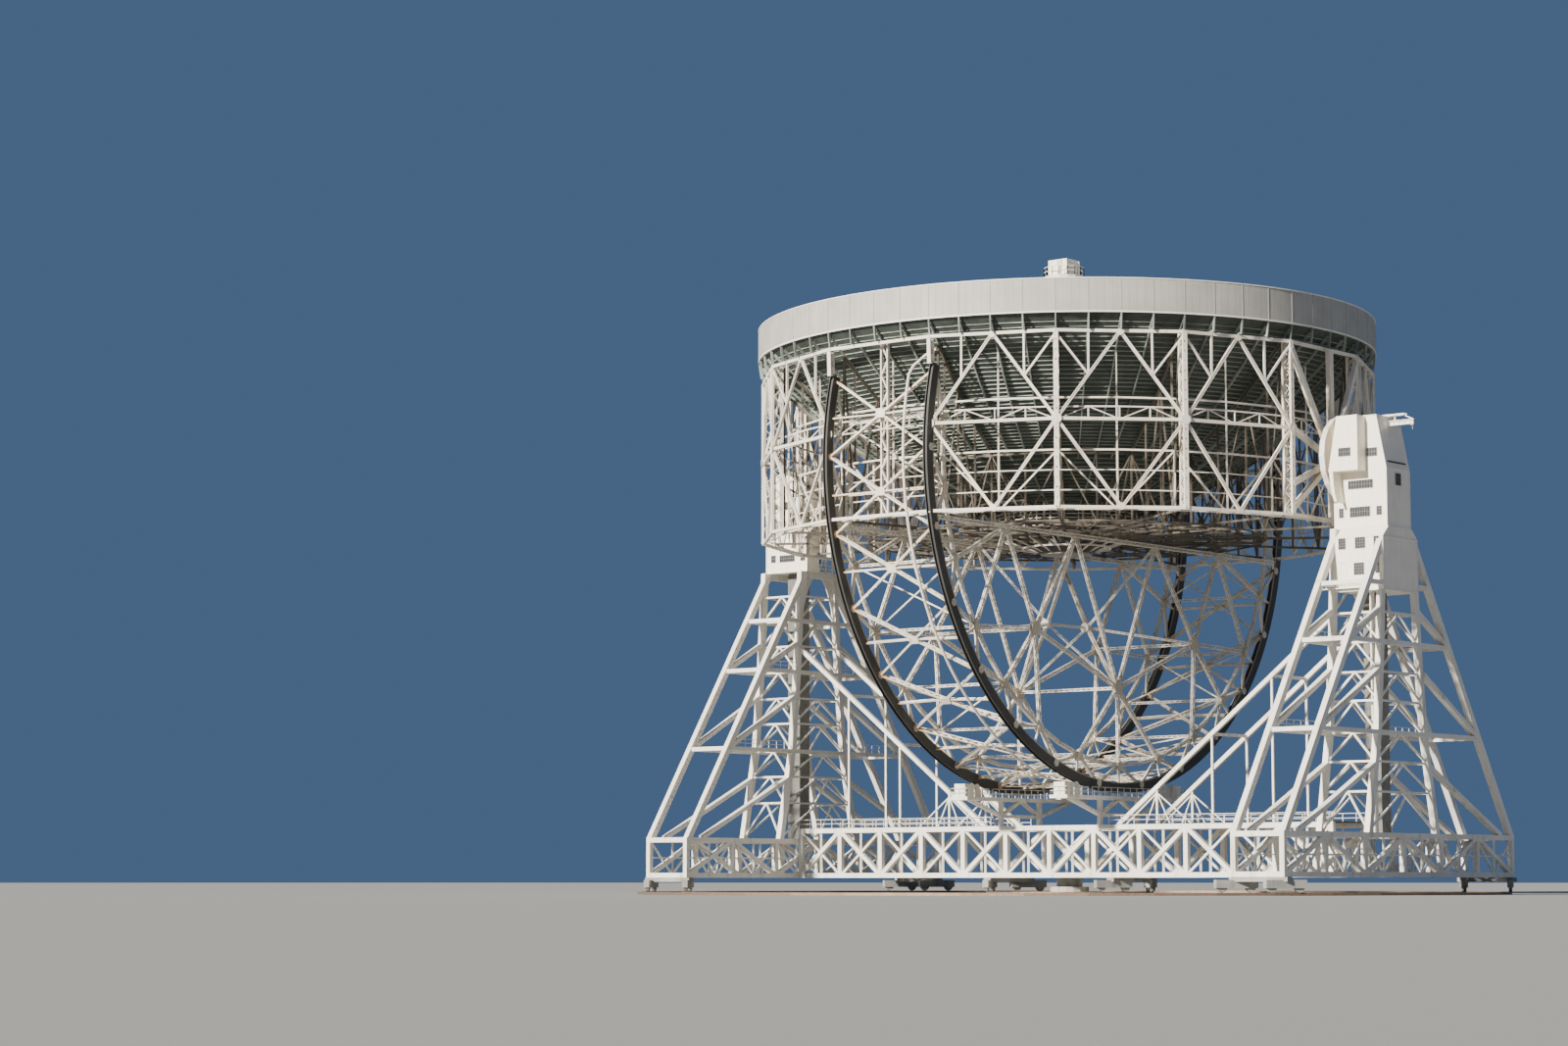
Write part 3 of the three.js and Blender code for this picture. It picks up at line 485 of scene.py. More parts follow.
membranePaint = membraneMaterial()
rimPaint = rimMaterial()
reflectorPaint = reflectorMaterial()
claddingPaint = claddingMaterial()
trimPaint = plainMaterial("bright trim", colour(0.85, 0.83, 0.78), 0.5, spread=0.1)
darkPane = plainMaterial("window panes", colour(0.03, 0.036, 0.045), 0.35, spread=0.4)
railSteel = plainMaterial("rail steel", colour(0.26, 0.19, 0.14), 0.55, 0.6)
paneBars = plainMaterial("window bars", colour(0.3, 0.28, 0.25), 0.5, spread=0.2)
concreteGrey = plainMaterial("concrete", colour(0.42, 0.4, 0.36), 0.9, grain=35.0)
shaftPaint = plainMaterial("lift shaft paint", colour(0.16, 0.16, 0.15), 0.6, spread=0.4)

nodeMaterials = {
    "steel": steelPaint, "cladding": claddingPaint, "rim": rimPaint, "reflector": reflectorPaint,
    "membrane": membranePaint, "dark_steel": bogiePaint, "rail": railSteel, "concrete": concreteGrey,
}
slotOf = {row["node"]: row["material_slot"] for row in frame["record"]["subparts"]}
for name, node in frame["nodes"].items():
    node.data.materials.clear()
    material = nodeMaterials[slotOf[name]]
    if name.startswith(("tower_frame", "tower_base", "stays", "bridge_girder", "wheel_support")):
        material = towerPaint
    elif name.startswith("lift_shaft"):
        material = shaftPaint
    elif name.startswith("bowl_trusses"):
        # the radial trusses under the bowl take the dark paint: painted shade
        material = lowerRustAndPaintedShade
    elif name.startswith("wheel_bracing"):
        material = bracingPaint
    node.data.materials.append(material)
print("materials made")


# Bowl skins: smooth membranes, rim wall, trims
skins = {
    "segments": 128, "rings": 18, "thickness": 0.08, "wallThickness": 0.3, "rimSegments": 256, "strips": 64,
    "stripFoot": 3.9,
}


def dishSkin(name, heightAt, material, node):
    bm = bmesh.new()
    radii = [bowl["shellRadius"] * k / skins["rings"] for k in range(skins["rings"] + 1)]
    spun(bm, [Vector((r, 0, heightAt(r))) for r in radii], skins["segments"])
    bmesh.ops.solidify(bm, geom=bm.faces[:], thickness=skins["thickness"])
    bmesh.ops.recalc_face_normals(bm, faces=bm.faces)
    finishPiece(name, bm, "bowl", material, (node,), True)


dishSkin("membrane_skin", undersideHeight, membranePaint, "bowl_underside")
dishSkin("reflector_skin", reflectorHeight, reflectorPaint, "reflector_surface")


def ringOf(low, high, inner, outer):
    bm = bmesh.new()
    corners = ((inner, low), (outer, low), (outer, high), (inner, high))
    spun(bm, [Vector((r, 0, z)) for r, z in corners], skins["rimSegments"], closed=True)
    return bm


def rimWall():
    outer, inner = bowl["rimRadius"], bowl["rimRadius"] - skins["wallThickness"]
    low, top = bowl["rimBottom"], bowl["rimTop"]
    wall = ringOf(low, top - 0.02, inner, outer)
    finishPiece("rim_wall", wall, "bowl", rimPaint, ("rim_band",), True)
    trim = bmesh.new()
    appendMesh(trim, ringOf(top - 0.1, top, outer - 0.38, outer + 0.06))
    appendMesh(trim, ringOf(low, low + 0.16, outer, outer + 0.05))
    onBowl("rim_trims", trim, trimPaint, smooth=True)
    strips = []
    for angle in evenAngles(skins["strips"])[:-1]:
        outward = polar(1, angle, 0)
        ends = [polar(outer + 0.01, angle, z) for z in (low + 0.1, top - 0.1)]
        strips.append(bar(*ends, 0.09, 0.05, outward))
        ends = [polar(inner - 0.15, angle, z) for z in (top - skins["stripFoot"], top - 0.1)]
        strips.append(bar(*ends, 0.12, 0.3, outward))
    finishPiece("rim_stiffeners", strips, "bowl", rimPaint)


rimWall()
print("bowl skins made")


# Ribs and purlins on the underside
ribs = {
    "count": 64, "depth": 0.42, "width": 0.14, "inner": 9.5, "shortInner": 20.0, "outer": 37.55,
    "stations": 15, "purlin": 0.11, "purlinDepth": 0.13, "purlinInner": 4.5, "purlinOuter": 37.4,
    "closeStep": 0.5, "wideStep": 0.8,
}


def ribAndPurlinWork():
    bars = []
    for k, angle in enumerate(evenAngles(ribs["count"])[:-1]):
        start = ribs["shortInner"] if k % 2 else ribs["inner"]
        reach = ribs["outer"] - start
        stops = [start + reach * s / ribs["stations"] for s in range(ribs["stations"] + 1)]
        line = [polar(r, angle, undersideHeight(r) - 0.05 - ribs["depth"] / 2) for r in stops]
        bars += [bar(low, high, ribs["width"], ribs["depth"]) for low, high in zip(line, line[1:])]
    onBowl("membrane_ribs", bars, purlinPaint)
    bars = []
    radius = ribs["purlinInner"]
    while radius < ribs["purlinOuter"]:
        angles = evenAngles(64 if radius > 18 else 32)
        bars += ringBars(radius, undersideHeight(radius) - 0.1, angles, ribs["purlin"], ribs["purlinDepth"])
        radius += ribs["closeStep"] if radius > 20 else ribs["wideStep"]
    onBowl("membrane_purlins", bars, purlinPaint)
    short = []
    edge = ((37.98, bowl["rimBottom"] - 0.02), (37.86, 64.5), (37.72, 63.7))
    for angle in evenAngles(ribs["count"])[:-1]:
        line = [polar(r, angle, z) for r, z in edge]
        short += [bar(low, high, 0.16, 0.26, polar(1, angle, 0)) for low, high in zip(line, line[1:])]
        foot = polar(36.2, angle, undersideHeight(36.2) - 0.3)
        short.append(bar(polar(37.6, angle, 63.9), foot, 0.12, 0.16))
    onBowl("rim_ribs", short, purlinPaint)


ribAndPurlinWork()
print("ribs and purlins made")


# Cage: battened posts, rings, diagonals and gussets, one piece for each quarter
cageWork = {
    "post": 0.54, "channel": 0.17, "chord": 0.3, "postDepth": 1.45, "postLaces": 22, "ring": 0.36,
    "diagonal": 0.34, "tie": 0.22, "bayPost": 1.1, "lattice": 55.0, "latticeRadius": 36.2,
    "innerRadius": 36.1,
}


def cagePost(angle):
    # an outer and an inner chord of two battened channels, with close lacing between them on both sides
    outward = polar(1, angle, 0)
    across = up.cross(outward)
    size, chord = cageWork["post"], cageWork["chord"]
    bars = []
    for radius in (cage["postFace"] - chord / 2, cage["postFace"] - cageWork["postDepth"] + chord / 2):
        foot, top = polar(radius, angle, cage["lower"]), polar(radius, angle, cage["upper"])
        bars += battened(foot, top, size, chord, outward, cageWork["channel"], 1.1, 0.8)
    near, far = cage["postFace"] - cageWork["postDepth"] + chord, cage["postFace"] - chord
    rise = (cage["upper"] - cage["lower"]) / cageWork["postLaces"]
    for s in (-1, 1):
        edge = across * (s * (size / 2 - 0.03))
        for k in range(cageWork["postLaces"]):
            low, high = cage["lower"] + k * rise, cage["lower"] + (k + 1) * rise
            start, end = (near, far) if k % 2 else (far, near)
            ends = polar(start, angle, low) + edge, polar(end, angle, high) + edge
            bars.append(bar(*ends, 0.05, 0.16, across))
    return bars


def onBay(angle, z):
    # the rings run straight from post to post, so a bay's middle lies inside the posts' circle
    offset = math.radians(min(angle % cage["bay"], -angle % cage["bay"]))
    middle = cage["radius"] * math.cos(math.radians(cage["bay"] / 2))
    return polar(middle / math.cos(offset), angle, z)


def cageQuarterBars(firstAngle, turn):
    half = cage["bay"] / 2
    angleAt = lambda steps: firstAngle + turn * steps * half
    upper, middle, lower = cage["upper"], cage["middle"], cage["lower"]
    bars = []
    for z, last in ((upper, 8), (lower, 8), (middle, 7)):
        line = [onBay(angleAt(k), z) for k in range(last)]
        bars += [bar(a, b, cageWork["ring"]) for a, b in zip(line, line[1:])]
    for k in (2, 4, 6):
        bars += cagePost(angleAt(k))
    for k in (1, 3, 5):
        outward = polar(1, angleAt(k), 0)
        for z in (upper, lower):
            for side in (-1, 1):
                ends = onBay(angleAt(k), z), onBay(angleAt(k + side), middle)
                bars += doubled(*ends, cageWork["diagonal"], outward)
        for side in (-1, 1):
            quarter = onBay(angleAt(k + side * 0.5), upper)
            foot = (onBay(angleAt(k), upper) + onBay(angleAt(k + side), middle)) / 2
            bars.append(bar(quarter, foot, cageWork["tie"], cageWork["tie"], outward))
            if 0 < k + side < 7:
                bars.append(bar(onBay(angleAt(k + side), upper - 0.3), foot, cageWork["tie"]))
    return bars


# Two channels side by side, as the diagonals are made
def doubled(start, end, width, guide):
    sideways, upward, along = basisOf(start, end, guide)
    shift = sideways * (width * 0.34)
    bars = [(start + shift * s, end + shift * s, width * 0.3, width * 0.85, upward) for s in (-1, 1)]
    bars.append((start, end, width * 0.5, width * 0.3, upward))
    return bars


def cageQuarterPiece(name, firstAngle, turn, node):
    bm = buildBars(cageQuarterBars(firstAngle, turn))
    half = cage["bay"] / 2
    plates = bmesh.new()
    for k in (1, 3, 5):
        for z in (cage["upper"], cage["lower"]):
            angle = firstAngle + turn * k * half
            face = onBay(angle, z - math.copysign(0.12, z - cage["middle"])) + polar(0.19, angle, 0)
            plateAt(plates, face, polar(1, angle, 0), 0.42, 0.04, 6)
    for k in (0, 2, 4, 6):
        angle = firstAngle + turn * k * half
        face = polar(cage["postFace"] + 0.02, angle, cage["middle"])
        plateAt(plates, face, polar(1, angle, 0), 0.62, 0.04, 8, math.pi / 8)
    appendMesh(bm, plates)
    onBowl(name, bm, steelPaint, (node,))


for side, firstAngles in (("right", (-78.75, 78.75)), ("left", (-101.25, 101.25))):
    for end, firstAngle in zip(("front", "back"), firstAngles):
        turn = (1 if firstAngle < 0 else -1) * (1 if side == "right" else -1)
        cageQuarterPiece(f"cage_work_{side}_{end}", firstAngle, turn, f"cage_{side}_{end}")


def cageBayWork(name, middleAngle, node):
    # the post stands on the ring between the wheel girders, with crossed lacing
    half = cage["bay"] / 2
    bars = []
    for z in (cage["upper"], cage["lower"]):
        bars += ringBars(cage["radius"], z, [middleAngle - half, middleAngle + half], cageWork["ring"])
        bars.append(bar(polar(36, middleAngle, z), onBay(middleAngle, z), 0.4, 0.3))
    low, high = polar(36.0, middleAngle, cage["lower"]), polar(36.0, middleAngle, cage["upper"])
    bars += laced(low, high, cageWork["bayPost"], 0.4, polar(1, middleAngle, 0), 0.18, 1.9, "w")
    onBowl(name, bars, steelPaint, (node,))


cageBayWork("cage_bay_work_front", -90, "cage_front_bay")
cageBayWork("cage_bay_work_back", 90, "cage_back_bay")


def cageInside():
    # the latticed ring inside the middle ring, and the inner line of the lower ring
    fine = evenAngles(64)
    r, top, bottom = cageWork["latticeRadius"], cageWork["lattice"], cage["middle"] + 0.1
    bars = ringBars(r, top, fine, 0.16) + ringBars(r, bottom, fine, 0.14)
    for k in range(64):
        low, high = polar(r, fine[k], bottom), polar(r, fine[k], top)
        bars.append(bar(low, high, 0.13))
        start, z = (high, bottom) if k % 2 else (low, top)
        bars.append(bar(start, polar(r, fine[k + 1], z), 0.12))
    for k in range(16):
        angle = cage["bay"] * (k + 0.5)
        bars += [bar(polar(r, angle, z), polar(cage["radius"], angle, z), 0.16) for z in (top, bottom)]
    onBowl("cage_lattice_ring", bars, steelPaint)
    r, z = cageWork["innerRadius"], cage["lower"] - 0.1
    bars = ringBars(r, z, fine, 0.18)
    for k in range(0, 64, 2):
        outer = onBay(fine[k + 1], cage["lower"])
        bars += [bar(polar(r, fine[k], z), outer, 0.12), bar(outer, polar(r, fine[k + 2], z), 0.12)]
    onBowl("lower_ring_lacing", bars, steelPaint)


cageInside()
print("cage made")


# Ring trusses, bracing of the radial trusses, the level web under the bowl and the hub's gallery
ringWork = {
    "radii": (12.0, 21.5), "frontRadius": 34.5, "levels": (45.7, 48.0, 50.3), "highRing": 56.3,
    "cuts": (3.4, 7.7, 12, 16.75, 21.5, 26, 30.5, 34, 36.3), "shortEnd": 35.7, "gridRadii": (8, 12, 18, 24.5),
}
gallery = {"rail": 8.8, "walk": 8.4, "floor": cage["lower"] + 1.0, "rises": (0.1, 0.55, 1.0, 1.45, 1.9)}
stations = evenAngles(32)


def ringTrusses():
    bars = []
    for radius in ringWork["radii"]:
        top, low = undersideHeight(radius) - 0.7, cage["lower"]
        bars += ringBars(radius, top, stations, 0.2)
        bars += ringBars(radius, low, stations, 0.22)
        for k in range(0, 32, 2):
            a, b, c = stations[k:k + 3]
            bars.append(bar(polar(radius, a, low), polar(radius, a, top), 0.18))
            if top - low > 4:
                bars += [bar(polar(radius, b, top), polar(radius, side, low), 0.16) for side in (a, c)]
    # the ring trusses are painted dark: painted shade under the bowl
    onBowl("ring_trusses", bars, lowerRustAndPaintedShade)
    bars = []
    radius, high = ringWork["frontRadius"], ringWork["highRing"]
    low, top = cage["lower"], ringWork["levels"][-1]
    for z in ringWork["levels"]:
        bars += ringBars(radius, z, stations, 0.2 if z == top else 0.12)
    bars += ringBars(radius, high, stations, 0.2)
    for k in range(32):
        a, b = stations[k], stations[(k + 1) % 32]
        head = polar(radius, a, top)
        bars.append(bar(polar(radius, a, low), head, 0.18))
        if k % 2:
            bars += [bar(head, polar(radius, side, low), 0.18) for side in (b, stations[k - 1])]
        else:
            bars.append(bar(head, polar(radius, a, high), 0.16))
            bars.append(bar(polar(radius, a, high), polar(radius, a, undersideHeight(radius) - 0.6), 0.14))
    onBowl("front_ring_truss", bars, steelPaint)


def trussBracing():
    # each radial truss under the bowl, with finer bars than its solid has
    bars = []
    cuts = ringWork["cuts"]
    low = cage["lower"]
    topAt = lambda radius: undersideHeight(radius) - 0.6
    for k in range(16):
        angle = cage["bay"] * (k + 0.5)
        last = ringWork["shortEnd"] if k % 8 in (3, 4) else cuts[-1]
        line = [radius for radius in cuts if radius < last] + [last]
        bars.append(bar(polar(line[0], angle, low), polar(last, angle, low), 0.26))
        for inner, outer in zip(line, line[1:]):
            bars.append(bar(polar(inner, angle, topAt(inner)), polar(outer, angle, topAt(outer)), 0.26))
        for j, radius in enumerate(line):
            bars.append(bar(polar(radius, angle, low), polar(radius, angle, topAt(radius)), 0.2))
            if j + 1 < len(line):
                outer = line[j + 1]
                first, second = (low, topAt(outer)) if j % 2 else (topAt(radius), low)
                bars.append(bar(polar(radius, angle, first), polar(outer, angle, second), 0.18))
    # the radial truss bars are painted dark: painted shade under the bowl
    onBowl("bowl_truss_work", bars, lowerRustAndPaintedShade, ("bowl_trusses_right", "bowl_trusses_left"))


def lowerGrid():
    # rings, radial bars and crossings
    bars = []
    z, radii = cage["lower"] - 0.1, ringWork["gridRadii"]
    for radius in radii:
        bars += ringBars(radius, z, stations, 0.2, 0.2)
    for k in range(32):
        angle = stations[k]
        if k % 2 == 0:
            bars.append(bar(polar(radii[0], angle, z), polar(radii[-1], angle, z), 0.2))
        for j in range(len(radii) - 1):
            first, second = (radii[j], radii[j + 1]) if (k + j) % 2 else (radii[j + 1], radii[j])
            bars.append(bar(polar(first, angle, z), polar(second, stations[k + 1], z), 0.14))
    # the lower grid is painted dark: painted shade under the bowl
    onBowl("lower_grid", bars, lowerRustAndPaintedShade)


def hubGallery():
    rail, walk, floor, low = gallery["rail"], gallery["walk"], gallery["floor"], cage["lower"]
    bars = []
    for rise in gallery["rises"]:
        bars += ringBars(rail, floor + rise, stations, 0.1)
    bars += ringBars(walk, floor, stations, 0.8, 0.06)
    for angle in stations[:32]:
        ends = polar(rail, angle, floor), polar(rail, angle, floor + 2.2)
        bars.append(bar(*ends, 0.09, 0.09, polar(1, angle, 0)))
    for angle in stations[:32:2]:
        bars.append(bar(polar(3.1, angle, low - 0.4), polar(walk, angle, floor), 0.16))
        bars.append(bar(polar(3.1, angle, low - 1.6), polar(8.0, angle, low), 0.16))
        bars.append(bar(polar(5.5, angle, low - 1.0), polar(5.5, angle + cage["bay"], low - 1.0), 0.2))
    onBowl("hub_gallery", bars, steelPaint)
    shell = bmesh.new()
    outline = [(0.3, 41.6), (3.4, 41.8), (4.6, 42.5), (4.5, 42.5), (3.3, 41.9), (0.3, 41.7)]
    spun(shell, [point(r, 0, z) for r, z in outline], 32, closed=True)
    # the hub shell is painted near black: painted shade under the bowl
    finishPiece("hub_shell", shell, "bowl", nearBlackPaintedShade, smooth=True)


ringTrusses()
trussBracing()
lowerGrid()
hubGallery()
print("bowl framing made")


# Wheel girders: channel chords, lacing, a web of latticed members and star gussets
girder = {
    "half": 0.3, "web": 0.14, "flange": 0.1, "recess": 0.24, "lip": 0.12, "lipHalf": 0.31, "webHalf": 0.2,
    "member": 0.5, "memberDepth": 0.34, "arcSteps": 90, "panels": 14, "lastPlate": 14.6, "outerNode": 37.3,
    "stars": {"bottom": (0, 24.9), "side": (17, 31.2)}, "innerHub": (4.2, 32.85), "ties": (8.5, 22.6),
    "tieHeight": cage["lower"] - 0.55,
}


def arcPiece(name, x, profiles, paint, replaced=()):
    # each profile, (sideways from, to, radius from, to), is swept along the wheel
    whole = bmesh.new()
    start, limit = fromAxis(-wheel["limit"]), math.radians(2 * wheel["limit"])
    for left, right, low, high in profiles:
        part = bmesh.new()
        corners = ((left, low), (right, low), (right, high), (left, high))
        outline = [point(x + s, 0, bowl["axisHeight"]) + start * r for s, r in corners]
        spun(part, outline, girder["arcSteps"], east, point(x, 0, bowl["axisHeight"]), limit, True)
        appendMesh(whole, part)
    onBowl(name, whole, paint, replaced, True)


def wheelChords(name, x, node):
    outer, inner = wheel["outer"], wheel["outer"] - wheel["depth"]
    half, lip, webHalf = girder["flange"] / 2, girder["lip"], girder["webHalf"]
    edges = [side * (girder["half"] - half) for side in (-1, 1)]
    flanges = [(edge - half, edge + half, inner, outer) for edge in edges]
    # Painted shade: the chord's sides, outer lips and webs are painted near black and its inner lips
    # grey-brown, for the shadow in the deep channel
    arcPiece(f"{name}_chord_sides", x, flanges, nearBlackPaintedShade, (node,))
    for edge, top, paint in (("outer", outer + 0.02, nearBlackPaintedShade), ("inner", inner + lip - 0.02, chordPaintedShade)):
        lips = [(side * webHalf, side * girder["lipHalf"], top - lip, top) for side in (-1, 1)]
        arcPiece(f"{name}_{edge}_lips", x, lips, paint)
    top = outer - girder["recess"]
    webs = [(-webHalf, webHalf, top - girder["web"], top), (-webHalf, webHalf, inner + 0.14, inner + 0.28)]
    arcPiece(f"{name}_chord_web", x, webs, nearBlackPaintedShade)


def wheelWeb(name, x):
    facet, panels, tieZ = wheel["facet"], girder["panels"], girder["tieHeight"]
    near, wide = girder["ties"]
    sideY, sideZ = girder["stars"]["side"]
    rim = lambda step: onWheel(x, wheel["inner"], step * facet)
    bottom = point(x, *girder["stars"]["bottom"])
    bars = []
    for s in (-1, 1):
        tie = lambda y: point(x, y * s, tieZ)
        star = point(x, s * sideY, sideZ)
        links = [(bottom, rim(s * 2)), (bottom, star), (bottom, tie(near)), (star, rim(s * 4)),
                 (star, rim(s * 6)), (star, rim(s * 8)), (star, tie(wide)), (star, tie(near)),
                 (rim(s * 8), tie(wide)), (rim(s * 10), tie(wide))]
        if s > 0:
            links.append((bottom, rim(0)))
        for start, end in links:
            bars += laced(start, end, girder["member"], girder["memberDepth"], east, 0.1, 0.75)
    tieEnd = math.sqrt(37.47 ** 2 - (bowl["axisHeight"] - tieZ) ** 2)
    bars += laced(point(x, -tieEnd, tieZ), point(x, tieEnd, tieZ), 0.5, 0.4, east, 0.12, 0.9)
    for k in range(-panels, panels + 1, 2):
        for step in (-1, 1):
            bars += doubled(rim(k), onWheel(x, girder["outerNode"], (k + step) * facet), 0.34, east)
        if abs(k) < panels:
            bars.append(bar(rim(k), onWheel(x, 37.1, k * facet), 0.22, 0.22, east))
    for s in (-1, 1):
        foot, head = point(x, s * 36.85, 60.4), point(x, s * 36.95, cage["upper"] - 0.25)
        bars += battened(foot, head, 0.75, 0.5, east)
    for k in range(-panels, panels):
        bars += laced(rim(k), rim(k + 1), 0.42, 0.36, east, 0.11, 0.7)
    onBowl(f"{name}_web", bars, steelPaint)
    plates = bmesh.new()
    for place in (bottom, point(x, sideY, sideZ), point(x, -sideY, sideZ)):
        for s in (-1, 1):
            plateAt(plates, place + point(s * 0.2, 0, 0), east, 0.9, 0.06, 10, 0.3)
    for k in range(-panels, panels + 1, 2):
        angle = math.radians(k * facet)
        outerStep = k + 1 if k < panels else girder["lastPlate"]
        for s in (-1, 1):
            corner = onWheel(x + s * 0.29, wheel["inner"] + 0.15, k * facet)
            plateAt(plates, corner, east, 0.62, 0.05, 6, angle)
            plateAt(plates, onWheel(x + s * 0.31, 37.25, outerStep * facet), east, 0.5, 0.04, 6, angle)
    onBowl(f"{name}_gussets", plates, gussetPaint)


for side, x in (("right", wheel["plane"]), ("left", -wheel["plane"])):
    wheelChords(f"wheel_{side}", x, f"wheel_girder_{side}")
    wheelWeb(f"wheel_{side}", x)


def crossWheelBracing():
    # latticed beams between the two girders' stars, inner chords and the two hubs half way
    bars = []
    near, far, panels = wheel["plane"], -wheel["plane"], girder["panels"]
    bottomY, bottomZ = girder["stars"]["bottom"]
    sideY, sideZ = girder["stars"]["side"]
    for y, z in ((bottomY, bottomZ), (-sideY, sideZ), (sideY, sideZ)):
        bars += laced(point(far, y, z), point(near, y, z), 0.42, 0.36, up, 0.09, 0.8)
    inside = lambda x, k: onWheel(x, wheel["inner"], k * wheel["facet"])
    for k in range(-panels, panels + 1, 2):
        bars += laced(inside(near, k), inside(far, k), 0.36, 0.32, up, 0.08, 0.8)
        if k < panels and k % 4 == 2:
            bars += [bar(inside(x, k), inside(-x, k + 2), 0.16) for x in (near, far)]
    hubY, hubZ = girder["innerHub"]
    plates = bmesh.new()
    for s in (-1, 1):
        hub = point(0, s * hubY, hubZ)
        ends = ((bottomY, bottomZ), (s * sideY, sideZ), (s * girder["ties"][0], girder["tieHeight"]))
        for x in (near, far):
            for y, z in ends:
                bars += laced(hub, point(x, y, z), 0.36, 0.3, up, 0.09, 0.8)
        plateAt(plates, hub - point(0, 0.3, 0), north, 0.6, 0.6, 8, 0.39)
    bars += laced(point(0, -hubY, hubZ), point(0, hubY, hubZ), 0.36, 0.3, up, 0.09, 0.8)
    whole = buildBars(bars)
    appendMesh(whole, plates)
    onBowl("wheel_cross_beams", whole, steelPaint)


crossWheelBracing()


# Crossed bracing between the two outer chords, panel by panel
bracing = {
    "radius": 37.25, "depth": 0.48, "arm": 0.24, "strut": 0.18, "armReach": 0.74, "armTurn": 10,
    "wideGap": 60, "wideReach": 0.5, "closeReach": 0.56, "plate": 0.05,
}


def bracingHub(bm, centre, onward, outward, rise):
    # a plate with a short flare on each arm
    outline = []
    tilt = math.degrees(math.atan2(rise, wheel["plane"]))
    arms = [0, tilt, 180 - tilt, 180, 180 + tilt, 360 - tilt]
    for k, angle in enumerate(arms):
        gap = arms[(k + 1) % 6] + (360 if k == 5 else 0) - angle
        outline += [(angle + turn, bracing["armReach"]) for turn in (-bracing["armTurn"], bracing["armTurn"])]
        wide = gap > bracing["wideGap"]
        reach = bracing["wideReach"] if wide else bracing["closeReach"]
        outline += [(angle + gap * share, reach) for share in ((0.35, 0.65) if wide else (0.5,))]
    corners = []
    for angle, radius in outline:
        turn = math.radians(angle)
        corners.append(centre + (east * (radius * math.cos(turn)) + onward * (radius * math.sin(turn))))
    appendMesh(bm, prism(corners, outward * bracing["plate"]))


def wheelBracing(name, firstPanel, lastPanel, node):
    # crossed box members and struts
    bars, plates = [], bmesh.new()
    near, far = wheel["plane"] - girder["half"], girder["half"] - wheel["plane"]
    radius, depth, facet = bracing["radius"], bracing["depth"], wheel["facet"]
    rise = 37.47 * math.sin(math.radians(facet))
    for panel in range(firstPanel, lastPanel + 1):
        middle = panel * 2 * facet
        outward = fromAxis(middle).normalized()
        crossing = onWheel(0, radius * math.cos(math.radians(facet)), middle)
        for x in (near, far):
            for angle in (middle - facet, middle + facet):
                bars += boxed(onWheel(x, radius, angle), crossing, bracing["arm"], depth, outward)
            strutEnd = onWheel(x, radius, middle)
            strutStart = crossing + (strutEnd - onWheel(0, radius, middle)) * 0.1
            bars += boxed(strutEnd, strutStart, bracing["strut"], depth * 0.7, outward)
        bracingHub(plates, crossing + outward * (depth / 2 + 0.01), outward.cross(east), outward, rise)
    bm = buildBars(bars)
    appendMesh(bm, plates)
    onBowl(name, bm, bracingPaint, (node,))


for run, firstPanel, lastPanel in (("front", -7, -3), ("bottom", -2, 2), ("back", 3, 7)):
    wheelBracing(f"wheel_bracing_work_{run}", firstPanel, lastPanel, f"wheel_bracing_{run}")


# Round tube that follows the near girder outside the bracing, and bends to its chord at the top
tube = {"radius": 37.95, "size": 0.16, "x": 4.15, "first": 104, "last": 16, "steps": 60}


def wheelTube():
    bm = bmesh.new()
    radius, size, x, axis = tube["radius"], tube["size"], tube["x"], bowl["axisHeight"]
    start = fromAxis(-tube["first"])
    outline = []
    for k in range(8):
        turn = k * math.pi / 4
        outline.append(point(x + size * math.cos(turn), 0, axis) + start * (radius + size * math.sin(turn)))
    sweep = math.radians(tube["first"] - tube["last"])
    spun(bm, outline, tube["steps"], east, point(x, 0, axis), sweep, True)
    bends = [onWheel(x, radius, -tube["first"]), onWheel(4.6, radius - 0.05, -105.6),
             onWheel(5.9, radius - 0.2, -107.4), onWheel(7.1, 37.5, -108.6)]
    for first, second in zip(bends, bends[1:]):
        part = bmesh.new()
        bmesh.ops.create_cone(part, cap_ends=True, segments=8, radius1=size, radius2=size, depth=1,
                              matrix=placed(first, second, 1, 1, up))
        appendMesh(bm, part)
    onBowl("wheel_tube", bm, steelPaint, smooth=True)


wheelTube()
print("wheel girders made")


# Windows: a frame, dark panes and thin bars on a wall
windows = {"frame": 0.045, "bar": 0.03, "depth": 0.06, "barDepth": 0.05}


def windowOn(panes, frames, centre, across, normal, width, height, columns, rows):
    rise, reach = up * (height / 2), across * (width / 2)
    panes.append((centre - rise, centre + rise, width, windows["depth"], normal))
    face = normal * windows["depth"] * 0.8
    for k in range(columns + 1):
        place = centre + (across * (width * (k / columns - 0.5)) + face)
        size = windows["frame"] if k in (0, columns) else windows["bar"]
        frames.append((place - rise, place + rise, size, windows["barDepth"], normal))
    for k in range(rows + 1):
        place = centre + (up * (height * (k / rows - 0.5)) + face)
        frames.append((place - reach, place + reach, windows["barDepth"], windows["bar"], up))


